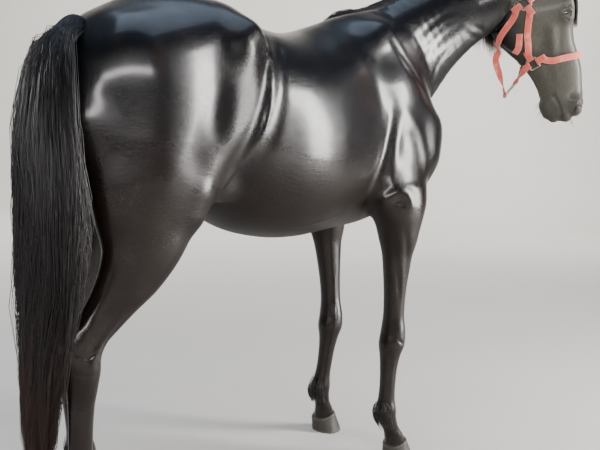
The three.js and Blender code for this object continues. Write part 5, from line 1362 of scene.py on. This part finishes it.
def coat_finish():
    """Short black hair lying back and down, glossy and dusty on the face; painted light in its colour makes
    it bluish high on the body, a painted sky reflection, and browner low on it, painted warm shade
    """
    finish = Finish("black coat", Specular_IOR_Level=0.17, Coat_Roughness=0.17, Coat_IOR=1.5)
    place = finish.place()
    patches = finish.noise(2.2, place, 4.0)
    mottle = finish.noise(17.0, place, 3.0)
    along = finish.node("Mapping", {}, Vector=place, Rotation=(0, 0.35, 0), Scale=(1, 6, 5))["Vector"]
    down = finish.node("Mapping", {}, Vector=place, Scale=(6, 6, 1))["Vector"]
    high = finish.node("SeparateXYZ", {}, Vector=place)["Z"]
    low = high.between(0.95, 0.70)
    body_hair = finish.noise(110.0, along, 3.0)
    leg_hair = finish.noise(110.0, down, 3.0)
    hair = body_hair * (1 - low) + leg_hair * low
    body_streak = finish.noise(26.0, along, 2.0)
    leg_streak = finish.noise(26.0, down, 2.0)
    streak = body_streak * (1 - low) + leg_streak * low
    speckle = finish.noise(240.0, place, 2.0)
    face, muzzle, under = finish.marked("face"), finish.marked("muzzle"), finish.marked("under")
    # Painted light: the mask brown runs by height from a bluish black high up, a painted sky reflection, to a
    # warm brown low down, painted shade
    brown = (1.35 - high + 0.5 * (patches - 0.5)).between(0.0, 0.45)
    base = finish.mix(brown, (0.0022, 0.0023, 0.0032), (0.0058, 0.0030, 0.0023))
    base = finish.mix(mottle.between(0.52, 0.80), base, (0.0075, 0.0052, 0.0045))
    dust = finish.noise(60.0, finish.place((5, 5, 0.7)), 3.0)
    base = finish.mix(face * (0.30 + 0.45 * dust), base, (0.120, 0.114, 0.092))
    base = finish.mix(muzzle * mottle, base, (0.030, 0.028, 0.026))
    # Painted shade: a near-black line along the mouth's slit, darker than the dusty face round it
    base = finish.mix(finish.marked("mouth") * 0.9, base, (0.003, 0.0025, 0.0025))
    glossy = (1 - 0.35 * brown) * (1 - 0.8 * face) * (1 - 0.95 * under)
    glossy = glossy * (1 - 0.85 * finish.marked("flank"))
    finish.shade(
        base=base,
        roughness=0.13 + 0.10 * streak + 0.04 * patches + 0.08 * speckle + 0.24 * face + 0.24 * under,
        coat=(0.34 + 0.36 * mottle) * glossy,
        height=0.55 * streak + 0.45 * hair + 0.45 * speckle,
        strength=0.55,
        distance=0.0022,
    )
    return finish


black_coat = coat_finish()
black_coat.dress(skin)


def hair_finish(name, dark, tint, bleach, start):
    """Long glossy hair, its older ends bleached where start tells"""
    finish = Finish(name, Specular_IOR_Level=0.55)
    tip, strand = finish.marked("tip"), finish.marked("strand")
    place = finish.place()
    old = (tip + 0.35 * (strand - 0.5) + 0.3 * (finish.noise(6.0, place) - 0.5)).between(start, start + 0.5)
    base = finish.mix(strand, dark, tint)
    base = finish.mix(old * (0.35 + 0.65 * strand), base, bleach)
    fine = finish.noise(900.0, place, 1.0)
    finish.shade(base=base, roughness=0.34 + 0.18 * strand, height=fine, strength=0.15, distance=0.0005)
    return finish


def hoof_finish():
    """Dark horn with growth rings, a soft pale band at the coronet and dust near the ground"""
    finish = Finish("dark horn", Specular_IOR_Level=0.5)
    high = finish.marked("height")
    place = finish.place()
    fibre = finish.noise(60.0, finish.place((4, 4, 0.4)), 3.0)
    rings = (high * 70 + 5 * finish.noise(3.0, place)).wave()
    base = finish.mix(0.6 * fibre + 0.2 * rings, (0.011, 0.0095, 0.0085), (0.042, 0.036, 0.030))
    base = finish.mix(high.between(0.90, 0.97), base, (0.050, 0.043, 0.037))
    base = finish.mix((0.16 - high).between(0, 0.2) * finish.noise(25.0, place), base, (0.15, 0.13, 0.105))
    height = 0.5 * rings + 0.6 * fibre
    finish.shade(base=base, roughness=0.38 + 0.3 * fibre, height=height, strength=0.5, distance=0.001)
    return finish


def eye_finish():
    """A dark brown eye with a wide level pupil and a dark rim"""
    finish = Finish("dark eye", Roughness=0.04, Coat_Weight=1.0, Coat_Roughness=0.02)
    along, up, out = (finish.marked(k) for k in ("along", "up", "out"))
    far = (along * along + up * up) ** 0.5
    pupil = ((along / 0.42) * (along / 0.42) + (up / 0.17) * (up / 0.17)).between(1.15, 0.8)
    streaks = finish.noise(14.0, finish.place((60, 60, 60)), 3.0)
    iris = finish.mix(streaks, (0.020, 0.009, 0.004), (0.065, 0.030, 0.012))
    base = finish.mix(far.between(0.62, 0.74), iris, (0.012, 0.009, 0.008))
    base = finish.mix(pupil, base, (0.002, 0.002, 0.003))
    base = finish.mix((1 - out).between(0.75, 0.95), base, (0.20, 0.12, 0.10))
    finish.shade(base=base)
    return finish


def webbing_finish():
    """Coral woven strap: fine herringbone, a stitched line near each edge, faded and soiled in places"""
    finish = Finish("coral webbing", Specular_IOR_Level=0.3, Sheen_Weight=0.4, Sheen_Roughness=0.5)
    along, across = finish.marked("along"), finish.marked("across")
    place = finish.place()
    rib = (along * 2.6 + across.size() * 1.6).wave()
    yarn = (across * 5.2).wave()
    weave = rib * 0.7 + yarn * 0.3
    seam = (across.size() - 10.0).size().between(0.55, 0.35)
    stitch = seam * ((along / 3.2).part() - 0.5).size().between(0.36, 0.30)
    worn = finish.noise(28.0, place, 4.0)
    base = finish.mix(weave, (0.46, 0.066, 0.048), (0.76, 0.160, 0.120))
    base = finish.mix(worn.between(0.50, 0.75), base, (0.76, 0.27, 0.21))
    base = finish.mix(stitch, base, (0.75, 0.30, 0.25))
    base = finish.mix(finish.noise(9.0, place, 3.0).between(0.58, 0.8), base, (0.22, 0.05, 0.04))
    height = weave + 1.2 * stitch
    finish.shade(base=base, roughness=0.72 + 0.15 * worn, height=height, strength=0.6, distance=0.0006)
    return finish


def ring_finish():
    """Cast metal rings, dulled and scratched"""
    finish = Finish("dull metal", Metallic=1.0)
    place = finish.place()
    wear = finish.noise(90.0, place, 4.0)
    stain = finish.noise(22.0, place, 3.0).between(0.45, 0.7)
    base = finish.mix(stain, (0.42, 0.38, 0.33), (0.16, 0.10, 0.07))
    roughness = 0.28 + 0.3 * wear + 0.15 * stain
    finish.shade(base=base, roughness=roughness, height=wear, strength=0.2, distance=0.0005)
    return finish


BLACK = (0.004, 0.0035, 0.004)
tail_hair = hair_finish("tail hair", BLACK, (0.012, 0.009, 0.009), (0.060, 0.026, 0.015), 0.60)
mane_hair = hair_finish("mane hair", BLACK, (0.012, 0.009, 0.008), (0.035, 0.018, 0.012), 0.80)
tail_hair.dress(*tail_pieces)
mane_hair.dress(*mane_pieces, forelock, feathers, whiskers)
black_coat.dress(*ears)
hoof_finish().dress(*hooves)
eye_finish().dress(*eyes)
webbing_finish().dress(*straps)
ring_finish().dress(*rings)


# The stage: a pale floor in metres, and soft lights and the camera of the picture in the animal's millimetres
FLOOR = {"wall": 8.0, "bend": 3.0, "high": 12.0, "reach": 30.0}
CAMERA = {"place": (-1878.8, -2236.2, 1210.6), "lens": 53.16}
# The heading counts from +Y towards +X
VIEW_HEADING, VIEW_PITCH, VIEW_ROLL = (math.radians(a) for a in (42.744, -6.504, 2.501))


def make_floor():
    """A floor that bends up into a wall behind the animal"""
    away, across = heading_way(math.pi / 2 - VIEW_HEADING), heading_way(-VIEW_HEADING)
    bend = [(FLOOR["wall"] + FLOOR["bend"] * math.sin(a), FLOOR["bend"] * (1 - math.cos(a)))
            for a in np.linspace(0, math.pi / 2, 25)]
    outline = [(-FLOOR["reach"], 0), *bend, (bend[-1][0], FLOOR["high"])]
    edges = (-FLOOR["reach"], FLOOR["reach"])
    points = [tuple(away * out + across * side + (0, 0, high)) for out, high in outline for side in edges]
    faces = [(2 * i, 2 * i + 1, 2 * i + 3, 2 * i + 2) for i in range(len(outline) - 1)]
    data = bpy.data.meshes.new("floor")
    data.from_pydata(points, [], faces)
    data.polygons.foreach_set("use_smooth", np.full(len(data.polygons), True))
    floor = bpy.data.objects.new("floor", data)
    bpy.context.scene.collection.objects.link(floor)
    finish = Finish("pale floor")
    grain = finish.noise(0.9, finish.place(), 4.0)
    base = finish.mix(grain, (0.52, 0.49, 0.455), (0.58, 0.55, 0.515))
    finish.shade(base=base, roughness=0.75 + 0.1 * grain)
    finish.dress(floor)


def area_light(name, place, aim, size, power, colour):
    data = bpy.data.lights.new(name, "AREA")
    data.shape = "RECTANGLE"
    data.size, data.size_y = (v * MM for v in size)
    data.energy = power
    data.color = colour
    light = bpy.data.objects.new(name, data)
    place, aim = to_frame(np.array(place, float)), to_frame(np.array(aim, float))
    light.matrix_world = look(place, aim)
    bpy.context.scene.collection.objects.link(light)


def standing(right, up, back, place):
    """Where a lamp or camera stands and which ways it turns"""
    return Matrix([[right[k], up[k], back[k], place[k]] for k in range(3)] + [[0, 0, 0, 1]])


def look(place, aim):
    """A lamp at a place, turned to what it aims at"""
    back = unit(place - aim)
    right = unit(np.cross((0, 0, 1), back)) if abs(back[2]) < 0.999 else np.array((1.0, 0, 0))
    up = np.cross(back, right)
    return standing(right, up, back, place)


MIDDLE = (0, 0, 1150)
# name, place, aim, size, power, colour
LIGHTS = [
    ("tall", (3300, -3200, 1900), MIDDLE, (1200, 3400), 620, (1.0, 0.98, 0.95)),
    ("low", (-3500, -5000, 2550), MIDDLE, (8600, 620), 560, (1.0, 0.98, 0.96)),
    ("sky", (300, 300, 5600), (0, 0, 1000), (5200, 4200), 150, (0.62, 0.78, 1.0)),
    ("rear", (-2500, 5200, 2600), MIDDLE, (4000, 1600), 190, (0.95, 0.97, 1.0)),
    ("wall left", (1200, 6200, 4800), (5600, 8600, 1200), (3000, 1500), 520, (1.0, 0.99, 0.97)),
    ("wall right", (7200, 2400, 4800), (8600, 6400, 1200), (3000, 1500), 520, (1.0, 0.99, 0.97)),
]


def make_lights():
    world = bpy.data.worlds.new("studio")
    bpy.context.scene.world = world
    world.use_nodes = True
    background = world.node_tree.nodes["Background"]
    background.inputs["Color"].default_value = (0.62, 0.76, 1.0, 1)
    background.inputs["Strength"].default_value = 0.10
    for light in LIGHTS:
        area_light(*light)


def make_camera():
    data = bpy.data.cameras.new("camera")
    data.sensor_width = 36
    data.lens = CAMERA["lens"]
    data.clip_end = 200
    camera = bpy.data.objects.new("camera", data)
    ahead, right = heading_way(math.pi / 2 - VIEW_HEADING, VIEW_PITCH), heading_way(-VIEW_HEADING)
    up = np.cross(right, ahead)
    c, s = math.cos(VIEW_ROLL), math.sin(VIEW_ROLL)
    right, up = c * right + s * up, c * up - s * right
    camera.matrix_world = standing(right, up, -ahead, to_frame(np.array(CAMERA["place"])))
    bpy.context.scene.collection.objects.link(camera)
    bpy.context.scene.camera = camera


make_floor()
make_lights()
make_camera()
